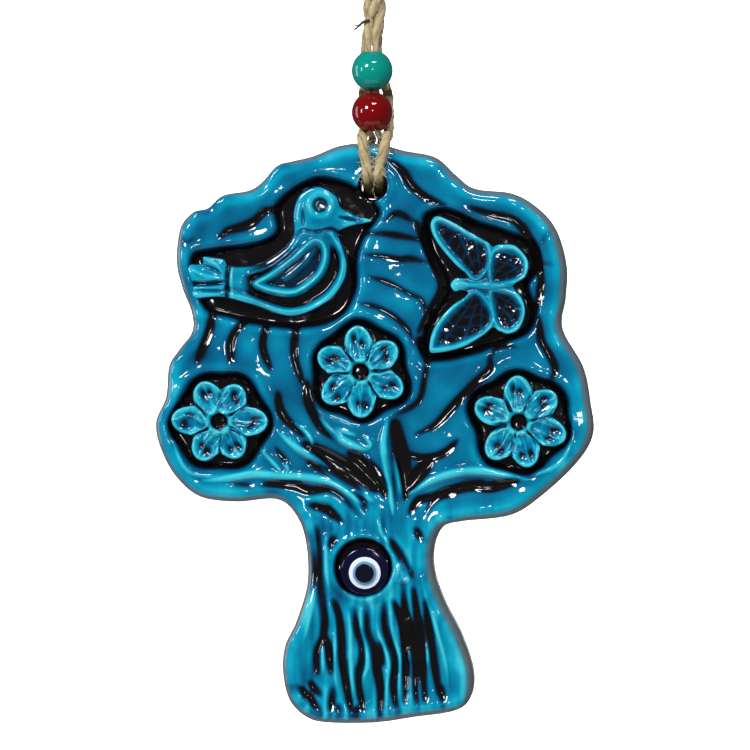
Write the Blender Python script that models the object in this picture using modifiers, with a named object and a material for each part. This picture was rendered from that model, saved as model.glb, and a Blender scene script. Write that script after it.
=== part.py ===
"""Clay tree of life: a glazed moulded wall ornament that hangs on jute twine with two beads.

Frame: metres, +Z up, the front faces -Y. The origin is the hanging point, inside the top of the
twine loop. Shapes are drawn in a drawing frame in millimetres: x across, z up from the foot of
the trunk, y from front to back, and `at` turns a drawing point into a place in the scene.
"""

import math

import bmesh
import bpy
import numpy as np
from mathutils import Matrix, Vector

# ---------------------------------------------------------------- driving dimensions, in mm
MM = 0.001
HANG_HEIGHT = 234.0        # from the foot of the trunk to the inside top of the loop
SLAB_FRONT = -5.0          # face of the slab
SLAB_BACK = 5.0
SLAB_EDGE = 2.6            # rounding of the slab's rim
GAP = 0.3                  # clearance between pieces that touch
POCKET_DEPTH = 2.2
FIGURE_PROUD = 1.0         # how far a sprig stands out of the slab
FIGURE_EDGE = 0.8
CORD_HOLE = (0.0, 132.3)
CORD_HOLE_RADIUS = 3.4
EYE_RECESS = (-2.5, 38.2)
EYE_RECESS_RADIUS = 7.3
EYE_RECESS_DEPTH = 2.8
EYE_CENTRE = (-2.2, 37.3)
BEAD_RADIUS = 5.0
BEAD_BORE = 2.2
BEAD_X = -0.4
BEAD_Y = -2.4
RED_BEAD_Z = 150.7
TEAL_BEAD_Z = 161.0
TWINE = 2.5                # diameter of a loose strand
TWINE_SQUEEZED = 1.65      # inside the beads
STRAND_TOP = 173.6         # where the four strands close into the twisted stretch
TWIST_RADIUS = 2.6
SWING_GAP = 1.4            # lets the cord's stretches tilt against each other
TILT_PIVOT = 184.6
KNOT_Z = 191.0
KNOT_RADII = (4.9, 4.3, 4.6)
LOOP_BOTTOM = 196.0

FLOWER_HOLE = 2.3
FLOWER_NECK = 0.52         # waist between petals, as a share of the petal length

# Rim of the tree, from the top and round by the left.
TREE_OUTLINE = [
    (0, 143), (-8, 142.4), (-15, 139.9), (-23.5, 137.6), (-29, 132.4), (-37.4, 130.1),
    (-42, 126.7), (-47, 124.4), (-49, 116), (-47.8, 107.8), (-45.1, 99.6), (-47, 93.6),
    (-50.9, 87.8), (-51.6, 80.4), (-54.3, 73), (-50.2, 62), (-43.8, 55.7), (-34, 54.3),
    (-23.8, 54.9), (-18.4, 49.6), (-16.7, 42), (-16.7, 31), (-20.8, 22.3), (-22.6, 13.4),
    (-20.8, 5.2), (-15.4, 0.4), (-5, -0.4), (6, 0.4), (20, 2.9), (24.2, 7), (24.6, 12.5),
    (21.2, 22.3), (16.3, 32.6), (14.7, 40.2), (16.6, 47.6), (21.5, 49.5), (33.7, 51.1),
    (43.5, 57.6), (52.2, 67.3), (54.4, 74.5), (52.4, 85), (46.6, 97.2), (47.9, 110.4),
    (45.1, 121.5), (37.5, 129.1), (25, 131.6), (17.6, 137.9), (8.4, 140.9),
]
BIRD_POCKET = [
    (-1.5, 121.5), (1.8, 125), (-4, 131.6), (-13, 134.6), (-21.5, 132), (-25, 126.5),
    (-24, 121.3), (-34, 118.3), (-45.2, 117.4), (-46.9, 111), (-44.6, 103), (-36, 99.8),
    (-20, 96.9), (-8, 99.8), (-3.4, 106.5),
]
BIRD_OUTLINE = [
    (-0.5, 123.8), (-5.4, 125.5), (-8.4, 130.2), (-13.5, 132.3), (-18.5, 130.1), (-20, 124),
    (-19.2, 119.2), (-24, 115.2), (-30, 112.9), (-35.6, 112.2), (-40.9, 114.3), (-45.2, 112),
    (-46.2, 108.6), (-44.6, 104.7), (-37.4, 104.7), (-30, 102.9), (-20, 100.3), (-11.3, 104.2),
    (-6.6, 111), (-8.7, 119.4), (-6.6, 122.1),
]
BIRD_WING = [
    (-29.4, 108.1), (-24.9, 105.9), (-18.8, 105.7), (-12.6, 110.6), (-11.2, 117.2),
    (-14.6, 119.3), (-19.8, 114.9),
]
BIRD_EYE = (-13.0, 127.6)
BUTTERFLY_POCKET = [
    (12.2, 88.8), (22, 89.4), (33, 92.4), (40.4, 97.6), (40, 104.4), (37.4, 107.4),
    (41.6, 113), (38.6, 119.6), (30, 122.4), (19, 127.2), (12.4, 124), (15, 113.4),
    (17, 106.6), (12.6, 98),
]
FORE_WING_TOP = [(24.6, 108.6), (18, 115.2), (14.8, 121.4), (17.4, 125), (23.4, 121.8),
                 (29.2, 118.2), (29.4, 108.6)]
HIND_WING_TOP = [(28.4, 108.4), (28.6, 117.8), (34.6, 117.6), (38.7, 112.8), (36.9, 108.7)]
FORE_WING_BOTTOM = [(24.6, 106.8), (18.2, 102.4), (14.9, 97), (14.3, 91.4), (21.6, 92.4),
                    (29.6, 96.8), (29.4, 106.8)]
HIND_WING_BOTTOM = [(28.4, 106.9), (29, 96.6), (34, 95.6), (37.8, 100.6), (36.2, 105.9)]
BUTTERFLY_BODY = [(18.9, 107.9), (21.6, 109.6), (27.4, 109.3), (34.4, 107.6), (27.4, 106),
                  (21.6, 106.2)]

# Cut channels, each as its route; bark on the trunk and cloud lines on the crown.
BARK_CHANNELS = [
    [(-13.4, 45), (-13.2, 35), (-12, 24), (-11, 12)],
    [(-9, 28), (-8, 18), (-6.4, 6), (-4, 3), (-2.8, 12), (-3.2, 21)],
    [(-0.6, 27), (0.8, 14), (2, 3)],
    [(4, 29), (5.4, 17), (6, 5)],
    [(8, 33), (9, 22), (10, 14)],
    [(12.6, 31), (12.4, 20), (12, 8)],
    [(16.2, 18), (16.8, 7)],
]
CLOUD_CHANNELS = [
    [(5.4, 139), (8.4, 135), (16, 130.4), (25, 127.2), (34, 123.6), (40, 116)],
    [(0.6, 120), (6, 120.3), (11.6, 118.5)],
    [(0.4, 115.2), (6, 114.3), (11.6, 114)],
    [(1, 109.4), (7, 107.4), (13, 102)],
    [(-2.4, 104), (4, 102), (9.4, 96)],
    [(-40.2, 97.4), (-42.6, 90.6)],
    [(-32.4, 95.6), (-35, 90.4)],
    [(-26.4, 94.4), (-26.4, 89)],
    [(29, 88), (24, 81), (14, 73)],
    [(21, 68.6), (14, 65.8), (7.4, 66.4)],
    [(-23.4, 80.4), (-22, 75.6), (-18, 71.4)],
]
BRANCH_CHANNELS = [
    [(-15.4, 53.6), (-10.6, 52.2), (-7.4, 49.4)],
    [(-27, 58.4), (-16, 57.2), (-4, 50.6)],
    [(-20, 69), (-12, 62), (-4, 54.6)],
    [(-1.6, 65), (1, 57), (3.2, 50.6)],
    [(7.4, 52), (13, 57.4), (24, 59.4), (33, 59.2)],
    [(10, 49.4), (17, 54.6), (26, 57.4)],
]
CHANNEL_RADIUS = 1.0

# Each flower: centre, longest radius, direction of the first petal in degrees.
FLOWERS = {
    "flower_left": ((-38.2, 74.2), 11.4, 60.0),
    "flower_middle": ((-3.1, 86.5), 11.6, 94.0),
    "flower_right": ((35.9, 74.1), 11.6, 95.0),
}
FLOWER_POCKET_MARGIN = 1.5

CERAMIC = ((0.0, 0.27, 0.45), 0.08)
JUTE = ((0.45, 0.36, 0.2), 0.85)
COLLECTION = "tree_of_life"


# ---------------------------------------------------------------- scene and places
def clear_scene():
    for obj in list(bpy.data.objects):
        bpy.data.objects.remove(obj, do_unlink=True)


def new_collection(name, helper=False):
    found = bpy.data.collections.new(name)
    bpy.context.scene.collection.children.link(found)
    found.hide_render = helper
    return found


def at(x, y, z):
    """A place in the scene from a drawing point in mm."""
    return Vector((x * MM, y * MM, (z - HANG_HEIGHT) * MM))


def material(name, colour, roughness, metallic=0.0):
    made = bpy.data.materials.new(name)
    made.use_nodes = True
    shader = made.node_tree.nodes["Principled BSDF"]
    shader.inputs["Base Color"].default_value = (*colour, 1.0)
    shader.inputs["Roughness"].default_value = roughness
    shader.inputs["Metallic"].default_value = metallic
    made.diffuse_color = (*colour, 1.0)
    return made


def finish(obj, colour, roughness):
    """Gives a node its own material and smooth shading."""
    obj.data.materials.clear()
    obj.data.materials.append(material(obj.name, colour, roughness))
    obj.data.shade_smooth()
    obj.data.set_sharp_from_angle(angle=math.radians(40))
    return obj


def as_mesh(curve_object, collection, name):
    """The evaluated mesh of a curve or of a mesh with modifiers, as a clean object in its place."""
    graph = bpy.context.evaluated_depsgraph_get()
    mesh = bpy.data.meshes.new_from_object(curve_object.evaluated_get(graph))
    made = bpy.data.objects.new(name, mesh)
    made.matrix_world = curve_object.matrix_world.copy()
    collection.objects.link(made)
    bpy.data.objects.remove(curve_object, do_unlink=True)
    work = bmesh.new()
    work.from_mesh(mesh)
    bmesh.ops.remove_doubles(work, verts=work.verts, dist=1e-6)
    bmesh.ops.recalc_face_normals(work, faces=work.faces)
    work.to_mesh(mesh)
    work.free()
    return made


# ---------------------------------------------------------------- shape makers
def plate(name, outlines, front, back, collection, edge=0.0, smooth=2):
    """A flat outline in the x-z plane, from depth `front` to depth `back`, with rounded edges.

    Every outline is a closed ring of points through which the rim runs as a smooth curve.
    """
    data = bpy.data.curves.new(name, "CURVE")
    data.dimensions = "2D"
    data.fill_mode = "BOTH"
    data.resolution_u = smooth
    half = (back - front) / 2
    data.extrude = (half - edge) * MM
    data.bevel_depth = edge * MM
    data.bevel_resolution = 1
    data.offset = -edge * MM
    for outline in outlines:
        spline = data.splines.new("BEZIER")
        spline.bezier_points.add(len(outline) - 1)
        spline.use_cyclic_u = True
        for point, (x, z) in zip(spline.bezier_points, outline):
            point.co = (x * MM, z * MM, 0)
            point.handle_left_type = point.handle_right_type = "AUTO"
    obj = bpy.data.objects.new(name + "_outline", data)
    obj.rotation_euler = (math.pi / 2, 0, 0)
    obj.location = at(0, (front + back) / 2, 0)
    collection.objects.link(obj)
    bpy.context.view_layer.update()
    return as_mesh(obj, collection, name)


def disc(name, centre, radius, front, back, collection, sides=32, edge=0.0):
    """A round plate that faces -Y, with its front edge rounded where `edge` is given."""
    mesh = bpy.data.meshes.new(name)
    work = bmesh.new()
    bmesh.ops.create_cone(work, cap_ends=True, segments=sides, radius1=radius * MM,
                          radius2=radius * MM, depth=(back - front) * MM)
    if edge:
        rim = [e for e in work.edges if all(v.co.z > 0 for v in e.verts)]
        bmesh.ops.bevel(work, geom=rim, offset=edge * MM, segments=2, profile=0.5,
                        affect="EDGES")
    work.to_mesh(mesh)
    work.free()
    obj = bpy.data.objects.new(name, mesh)
    obj.rotation_euler = (math.pi / 2, 0, 0)
    obj.location = at(centre[0], (front + back) / 2, centre[1])
    collection.objects.link(obj)
    return obj


def smooth_route(route, per_step=2):
    """Points along a smooth curve (Catmull-Rom) through the route's points, more where they crowd."""
    points = np.array(route, float)
    around = np.vstack([2 * points[0] - points[1], points, 2 * points[-1] - points[-2]])
    line = []
    for a, b, c, d in zip(around, around[1:], around[2:], around[3:]):
        t = np.linspace(0, 1, per_step, endpoint=False)[:, None]
        line.append(0.5 * (2 * b + (c - a) * t + (2 * a - 5 * b + 4 * c - d) * t ** 2
                           + (3 * b - a - 3 * c + d) * t ** 3))
    return np.vstack(line + [points[-1][None]])


def tube(name, route, collection, per_step=2, sides_level=2):
    """A round tube along a route of x, y, z and diameter, all in mm."""
    points = smooth_route(route, per_step)
    data = bpy.data.curves.new(name, "CURVE")
    data.dimensions = "3D"
    data.fill_mode = "FULL"
    data.bevel_depth = 0.5 * MM
    data.bevel_resolution = sides_level
    data.use_fill_caps = True
    spline = data.splines.new("POLY")
    spline.points.add(len(points) - 1)
    for place, (x, y, z, diameter) in zip(spline.points, points):
        place.co = (*at(x, y, z), 1)
        place.radius = diameter
    obj = bpy.data.objects.new(name + "_line", data)
    collection.objects.link(obj)
    bpy.context.view_layer.update()
    return as_mesh(obj, collection, name)


def boolean(target, other, operation="DIFFERENCE"):
    modifier = target.modifiers.new(other.name, "BOOLEAN")
    modifier.operation = operation
    modifier.object = other
    modifier.solver = "EXACT"
    other.hide_render = True
    other.display_type = "WIRE"


# ---------------------------------------------------------------- ceramic
def flower_outline(centre, length, first, margin=0.0, sides=48):
    """Six round petals: the radius swings between the neck and the tip three times per half turn."""
    ring = []
    for k in range(sides):
        angle = 2 * math.pi * k / sides
        swing = abs(math.cos(3 * (angle - math.radians(first)))) ** 0.7
        radius = length * (FLOWER_NECK + (1 - FLOWER_NECK) * swing) + margin
        ring.append((centre[0] + radius * math.cos(angle), centre[1] + radius * math.sin(angle)))
    return ring


def ring(centre, radius, sides=12):
    return [(centre[0] + radius * math.cos(2 * math.pi * k / sides),
             centre[1] + radius * math.sin(2 * math.pi * k / sides)) for k in range(sides)]


def channel_cutter(name, route, depth, cutters):
    """A tube half sunk in the face at `depth`, which cuts a round channel with closed ends."""
    line = [(x, depth, z, 2 * CHANNEL_RADIUS) for x, z in route]
    return tube(name, line, cutters, sides_level=1)


def make_slab(parts, cutters):
    slab = plate("tree_slab", [TREE_OUTLINE], SLAB_FRONT, SLAB_BACK, parts, edge=SLAB_EDGE)
    floor = SLAB_FRONT + POCKET_DEPTH
    above = SLAB_FRONT - 5
    pockets = [plate("bird_pocket", [BIRD_POCKET], above, floor, cutters),
               plate("butterfly_pocket", [BUTTERFLY_POCKET], above, floor, cutters)]
    for name, (centre, length, _) in FLOWERS.items():
        pocket = ring(centre, length + FLOWER_POCKET_MARGIN)
        pockets.append(plate(name + "_pocket", [pocket], above, floor, cutters))
    pockets.append(disc("eye_recess", EYE_RECESS, EYE_RECESS_RADIUS, above,
                        SLAB_FRONT + EYE_RECESS_DEPTH, cutters))
    pockets.append(disc("cord_hole", CORD_HOLE, CORD_HOLE_RADIUS, SLAB_FRONT - 5, SLAB_BACK + 5,
                        cutters, sides=24))
    for pocket in pockets:
        boolean(slab, pocket)
    for i, route in enumerate(BARK_CHANNELS + CLOUD_CHANNELS + BRANCH_CHANNELS):
        boolean(slab, channel_cutter(f"channel_{i:02d}", route, SLAB_FRONT, cutters))
    return finish(slab, *CERAMIC)


def figure_depths():
    """Front and back of a sprig that lies in its pocket."""
    return SLAB_FRONT - FIGURE_PROUD, SLAB_FRONT + POCKET_DEPTH - GAP


def make_bird(parts, cutters):
    front, back = figure_depths()
    bird = plate("bird", [BIRD_OUTLINE], front, back, parts, edge=FIGURE_EDGE)
    wing = plate("bird_wing", [BIRD_WING], front - 0.6, front + 1.0, cutters, edge=0.4)
    boolean(bird, wing, "UNION")
    boolean(bird, disc("bird_eye", BIRD_EYE, 1.9, front - 2, front + 1.0, cutters, sides=16))
    for i, route in enumerate([[(-35.8, 113), (-36.2, 104)], [(-37.4, 108.3), (-45.6, 108.3)],
                               [(-2.6, 123.9), (-8, 124.4)]]):
        cut = channel_cutter(f"bird_line_{i}", route, front, cutters)
        boolean(bird, cut)
    return finish(bird, *CERAMIC)


def make_butterfly(parts, cutters):
    front, back = figure_depths()
    body = plate("butterfly", [BUTTERFLY_BODY], front - 0.5, back, parts, edge=FIGURE_EDGE)
    wings = {"fore_wing_top": FORE_WING_TOP, "hind_wing_top": HIND_WING_TOP,
             "fore_wing_bottom": FORE_WING_BOTTOM, "hind_wing_bottom": HIND_WING_BOTTOM}
    for i, (name, outline) in enumerate(wings.items()):
        wing = plate(name, [outline], front + 0.1 * i, back - 0.05 * (i + 1), cutters,
                     edge=FIGURE_EDGE)
        boolean(body, wing, "UNION")
    return finish(body, *CERAMIC)


def make_flowers(parts):
    front, back = figure_depths()
    for name, (centre, length, first) in FLOWERS.items():
        outlines = [flower_outline(centre, length, first), ring(centre, FLOWER_HOLE)]
        flower = plate(name, outlines, front, back, parts, edge=0.6, smooth=1)
        finish(flower, *CERAMIC)


# ---------------------------------------------------------------- glass eye
def make_eye(parts):
    """Layers of glass, each fused on the one behind it, in a bed of glue in the recess."""
    floor = SLAB_FRONT + EYE_RECESS_DEPTH
    layers = [
        ("eye_glue", EYE_CENTRE, 5.4, 0.6, 0.0, (0.75, 0.72, 0.6), 0.3),
        ("eye_base", EYE_CENTRE, 6.0, 2.1, 0.9, (0.003, 0.003, 0.05), 0.05),
        ("eye_white", (-2.0, 36.9), 3.95, 0.45, 0.2, (0.75, 0.82, 0.95), 0.05),
        ("eye_light_blue", (-2.0, 36.9), 2.9, 0.35, 0.15, (0.1, 0.3, 0.6), 0.05),
        ("eye_pupil", (-2.0, 36.9), 2.3, 0.35, 0.15, (0.003, 0.003, 0.01), 0.05),
    ]
    back = floor - GAP
    for name, centre, radius, thickness, edge, colour, roughness in layers:
        layer = disc(name, centre, radius, back - thickness, back, parts, edge=edge)
        finish(layer, colour, roughness)
        back -= thickness + GAP


# ---------------------------------------------------------------- beads
def make_bead(name, height, colour, parts, arc_steps=10, turns=24):
    """A ball with a bore: an arc down the outside and a straight line up the bore, turned."""
    start = math.asin(BEAD_BORE / BEAD_RADIUS)
    angles = np.linspace(start, math.pi - start, arc_steps + 1)
    profile = [(BEAD_RADIUS * math.sin(a) * MM, 0, BEAD_RADIUS * math.cos(a) * MM) for a in angles]
    mesh = bpy.data.meshes.new(name)
    count = len(profile)
    mesh.from_pydata(profile, [(i, (i + 1) % count) for i in range(count)], [])
    bead = bpy.data.objects.new(name, mesh)
    bead.location = at(BEAD_X, BEAD_Y, height)
    parts.objects.link(bead)
    turn = bead.modifiers.new("turned", "SCREW")
    turn.steps = turn.render_steps = turns
    turn.use_merge_vertices = True
    turn.merge_threshold = 1e-6
    mesh.materials.append(material(name, colour, 0.06))
    return bead


# ---------------------------------------------------------------- twine
def strand_route(side):
    """One strand from the twisted stretch: down through the beads, over the slab's top and down
    its back, through the hole, up the front, and up behind the beads to the twisted stretch."""
    narrow, bead = TWINE_SQUEEZED, BEAD_X
    through_beads = [
        (side * 1.3, -1.3, STRAND_TOP, 2.3), (bead + side * 0.95, -2.3, 170, narrow),
        (bead + side * 0.9, BEAD_Y, 166, narrow), (bead + side * 0.9, BEAD_Y, 161, narrow),
        (bead + side * 0.9, BEAD_Y - 0.2, 155.8, narrow),
        (bead + side * 0.9, BEAD_Y - 0.6, 150, narrow),
        (bead + side * 0.92, BEAD_Y - 0.3, 147.3, narrow), (0.1 + side * 0.98, -1.7, 145.6, narrow),
        (0.35 + side * 1.0, 0.4, 144.75, narrow),
    ]
    down_the_back = [
        (0.35 + side * 1.05, 3.4, 144.5, 1.8), (side * 1.35, 5.8, 143.3, 2.2),
        (side * 1.45, 6.7, 140.6, TWINE), (side * 1.4, 6.8, 137.2, TWINE),
        (side * 1.45, 7.0, 134.2, TWINE),
    ]
    through_the_hole = [
        (side * 1.5, 6.5, 131.9, TWINE), (side * 1.5, 5, 131.2, TWINE), (side * 1.5, 2.6, 131.7, TWINE),
        (side * 1.4, -2.4, 132.7, TWINE), (side * 1.4, -5, 133.5, TWINE),
        (side * 1.4, -6.4, 135, TWINE),
    ]
    spread = 0.35 + side * 3.25
    up_behind_the_beads = [
        (0.1 + side * 1.6, -6.55, 137.4, TWINE), (0.2 + side * 2.4, -6.55, 140.8, TWINE),
        (0.3 + side * 2.9, -5.4, 143.6, TWINE), (spread, -3.2, 144.8, TWINE),
        (spread, -0.4, 144.9, TWINE), (spread, 2.3, 146.4, TWINE),
        (spread, 4.1, 150.0, TWINE), (side * 3.0, 4.2, 155.7, TWINE),
        (-0.6 + side * 1.7, 4.2, 161.5, TWINE), (-1.0 + side * 1.4, 3.6, 168.0, TWINE),
        (side * 1.3, 1.3, STRAND_TOP, 2.3),
    ]
    return through_beads + down_the_back + through_the_hole + up_behind_the_beads


def make_twine(parts):
    finish(tube("twine_left", strand_route(-1), parts, per_step=1), *JUTE)
    finish(tube("twine_right", strand_route(1), parts, per_step=1), *JUTE)
    thick = 2 * TWIST_RADIUS
    twisted = [(0, 0, STRAND_TOP + SWING_GAP, thick), (0, 0, TILT_PIVOT - SWING_GAP / 2, thick)]
    finish(tube("twisted_cord", twisted, parts), *JUTE)
    neck = [(0, 0, TILT_PIVOT + SWING_GAP / 2, thick), (0, 0, KNOT_Z - KNOT_RADII[2] - GAP, thick)]
    finish(tube("knot_neck", neck, parts, per_step=1), *JUTE)
    half = [(1.6, 0, LOOP_BOTTOM), (3.4, 0, 201), (6.4, 0, 209), (7.6, 0, 218), (6.6, 0, 227),
            (4, 0, 233.2)]
    loop = ([(-x, y, z, TWINE) for x, y, z in half] + [(0, 0, HANG_HEIGHT + TWINE / 2, TWINE)]
            + [(x, y, z, TWINE) for x, y, z in reversed(half)])
    finish(tube("hanging_loop", loop, parts), *JUTE)
    for name, side in (("twine_end_left", -1), ("twine_end_right", 1)):
        end = [(side * 5.3, 0, 189.6, TWINE), (side * 7.2, 0, 188.2, TWINE),
               (side * 9, 0, 185.4, TWINE)]
        finish(tube(name, end, parts), *JUTE)


def make_knot(parts):
    """The overhand knot as one closed body of its outer shape."""
    mesh = bpy.data.meshes.new("top_knot")
    work = bmesh.new()
    bmesh.ops.create_uvsphere(work, u_segments=16, v_segments=10, radius=1)
    work.transform(Matrix.Diagonal((*(radius * MM for radius in KNOT_RADII), 1)))
    work.to_mesh(mesh)
    work.free()
    knot = bpy.data.objects.new("top_knot", mesh)
    knot.location = at(0, 0, KNOT_Z)
    parts.objects.link(knot)
    return finish(knot, *JUTE)


def main():
    clear_scene()
    parts = new_collection(COLLECTION)
    cutters = new_collection(COLLECTION + "_cutters", helper=True)
    make_slab(parts, cutters)
    make_bird(parts, cutters)
    make_butterfly(parts, cutters)
    make_flowers(parts)
    make_eye(parts)
    make_bead("red_bead", RED_BEAD_Z, (0.25, 0.0, 0.002), parts)
    make_bead("teal_bead", TEAL_BEAD_Z, (0.0, 0.3, 0.24), parts)
    make_twine(parts)
    make_knot(parts)


main()
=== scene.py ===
"""Clay tree of life: the finished look of a glazed, moulded wall ornament on jute twine.

Shapes are drawn in the maker's drawing frame, in mm: x across, z up from the foot of the trunk,
and y from front to back. `place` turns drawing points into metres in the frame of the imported
model, whose origin is the inside top of the hanging loop.
"""

import logging
import math
from collections.abc import Iterable, Sequence
from dataclasses import dataclass, field
from enum import Enum

import bpy
import numpy as np
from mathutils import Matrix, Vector
from mathutils.geometry import delaunay_2d_cdt


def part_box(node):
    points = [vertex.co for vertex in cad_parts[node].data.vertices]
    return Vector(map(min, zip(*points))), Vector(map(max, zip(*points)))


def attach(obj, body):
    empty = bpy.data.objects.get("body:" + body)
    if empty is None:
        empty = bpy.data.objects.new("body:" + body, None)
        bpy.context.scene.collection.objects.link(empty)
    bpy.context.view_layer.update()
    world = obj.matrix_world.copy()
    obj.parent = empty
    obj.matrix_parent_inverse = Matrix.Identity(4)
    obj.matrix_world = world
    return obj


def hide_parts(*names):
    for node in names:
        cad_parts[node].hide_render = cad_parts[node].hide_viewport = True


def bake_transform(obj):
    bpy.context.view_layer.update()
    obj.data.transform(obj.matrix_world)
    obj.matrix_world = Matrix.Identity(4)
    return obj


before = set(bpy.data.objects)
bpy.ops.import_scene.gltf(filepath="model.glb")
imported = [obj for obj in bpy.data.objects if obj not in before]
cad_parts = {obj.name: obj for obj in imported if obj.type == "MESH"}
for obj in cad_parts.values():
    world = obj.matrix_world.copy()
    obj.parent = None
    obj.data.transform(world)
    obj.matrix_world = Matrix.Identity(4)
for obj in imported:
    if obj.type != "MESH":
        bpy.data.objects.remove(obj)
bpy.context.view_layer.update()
LOG = logging.getLogger("tree_of_life")

MM = 0.001
HANG_HEIGHT = 234.0          # drawing height of the frame's origin
TREE_BODY = "tree"
Points = Sequence[tuple[float, float]]
Array = np.ndarray


def place(points: Array) -> Array:
    """Turn drawing points (x, y, z in mm) into metres in the model's frame.

    Args:
        points: an array whose last axis is x, y, z.

    Returns:
        The same points in metres, measured from the hanging point.
    """
    return (np.asarray(points, float) - (0.0, 0.0, HANG_HEIGHT)) * MM


def drawn_box(node: str) -> tuple[Array, Array]:
    """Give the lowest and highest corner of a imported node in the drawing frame, in mm."""
    low, high = (np.array(corner) / MM + (0.0, 0.0, HANG_HEIGHT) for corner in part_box(node))
    return low, high


# ------------------------------------------------------------------ material writing
class Socket:
    """One output or value in a material, on which Python's operators add Math nodes."""

    def __init__(self, sheet: "NodeSheet", link: bpy.types.NodeSocket) -> None:
        """Keep the sheet that holds the nodes and the socket that gives the value."""
        self.sheet, self.link = sheet, link

    def _math(self, operation: str, first: object, second: object = 0.0) -> "Socket":
        """Add one Math node on two values."""
        return self.sheet.node("ShaderNodeMath", {"operation": operation}, {0: first, 1: second})

    def __add__(self, other: object) -> "Socket":
        """Add a value."""
        return self._math("ADD", self, other)

    def __sub__(self, other: object) -> "Socket":
        """Take a value away."""
        return self._math("SUBTRACT", self, other)

    def __rsub__(self, other: object) -> "Socket":
        """Take this from a value."""
        return self._math("SUBTRACT", other, self)

    def __mul__(self, other: object) -> "Socket":
        """Multiply by a value."""
        return self._math("MULTIPLY", self, other)

    __radd__, __rmul__ = __add__, __mul__

    def clipped(self) -> "Socket":
        """Hold the value between 0 and 1."""
        return self.sheet.node("ShaderNodeClamp", {}, {"Value": self})


class NodeSheet:
    """A material's node tree, with one method that adds any node."""

    def __init__(self, name: str) -> None:
        """Start a material that holds only a Principled shader and its output."""
        self.material = bpy.data.materials.new(name)
        self.material.use_nodes = True
        self.nodes = self.material.node_tree.nodes
        self.shader = self.nodes["Principled BSDF"]

    def put(self, socket: bpy.types.NodeSocket, value: object) -> None:
        """Link a Socket into an input, or set a plain value on it."""
        if isinstance(value, Socket):
            self.material.node_tree.links.new(value.link, socket)
        else:
            socket.default_value = value

    def node(self, kind: str, settings: dict[str, object], inputs: dict[object, object],
             output: object = 0) -> Socket:
        """Add a node.

        Args:
            kind: the node's type name.
            settings: properties to set first; "stops" fills a colour ramp.
            inputs: values or Sockets, by input name or number.
            output: name or number of the output to hand on.

        Returns:
            The chosen output.
        """
        made = self.nodes.new(kind)
        for name, value in settings.items():
            if name == "stops":
                self._fill_ramp(made.color_ramp, value)
            else:
                setattr(made, name, value)
        for name, value in inputs.items():
            self.put(made.inputs[name], value)
        return Socket(self, made.outputs[output])

    @staticmethod
    def _fill_ramp(ramp: bpy.types.ColorRamp, stops: Iterable[tuple[float, tuple]]) -> None:
        """Fill a ramp with (place, colour) stops."""
        for index, (where, colour) in enumerate(stops):
            stop = ramp.elements[index] if index < 2 else ramp.elements.new(where)
            stop.position, stop.color = where, (*colour, 1.0)

    def coordinates(self, stretch: tuple[float, float, float] = (1, 1, 1)) -> Socket:
        """Give object coordinates, stretched along each axis."""
        where = self.node("ShaderNodeTexCoord", {}, {}, "Object")
        return self.node("ShaderNodeMapping", {}, {"Vector": where, "Scale": stretch})

    def noise(self, where: Socket, scale: float, detail: float = 3.0,
              rough: float = 0.5) -> Socket:
        """Give fractal noise from 0 to 1."""
        return self.node("ShaderNodeTexNoise", {},
                         {"Vector": where, "Scale": scale, "Detail": detail, "Roughness": rough})

    def attribute(self, name: str) -> Socket:
        """Read a number that the mesh holds at each point."""
        return self.node("ShaderNodeAttribute", {"attribute_name": name}, {}, "Fac")

    def mix(self, share: object, first: object, second: object) -> Socket:
        """Mix two colours."""
        return self.node("ShaderNodeMix", {"data_type": "RGBA"}, {0: share, 6: first, 7: second}, 2)

    def ramp(self, value: Socket, stops: Iterable[tuple[float, tuple]]) -> Socket:
        """Read a colour from stops."""
        return self.node("ShaderNodeValToRGB", {"stops": list(stops)}, {"Fac": value})

    def bump(self, height: Socket, distance: float, strength: float = 1.0) -> Socket:
        """Turn a height from 0 to 1 into a normal; distance is in mm."""
        return self.node("ShaderNodeBump", {},
                         {"Height": height, "Distance": distance * MM, "Strength": strength})

    def finish(self, **inputs: object) -> bpy.types.Material:
        """Set the shader's inputs, named with underscores, and hand the material over."""
        for name, value in inputs.items():
            self.put(self.shader.inputs[name.replace("_", " ")], value)
        return self.material


def opaque(colour: Sequence[float]) -> tuple[float, float, float, float]:
    """Give a colour with full alpha, as a colour socket takes it."""
    return (*colour, 1.0)


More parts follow.
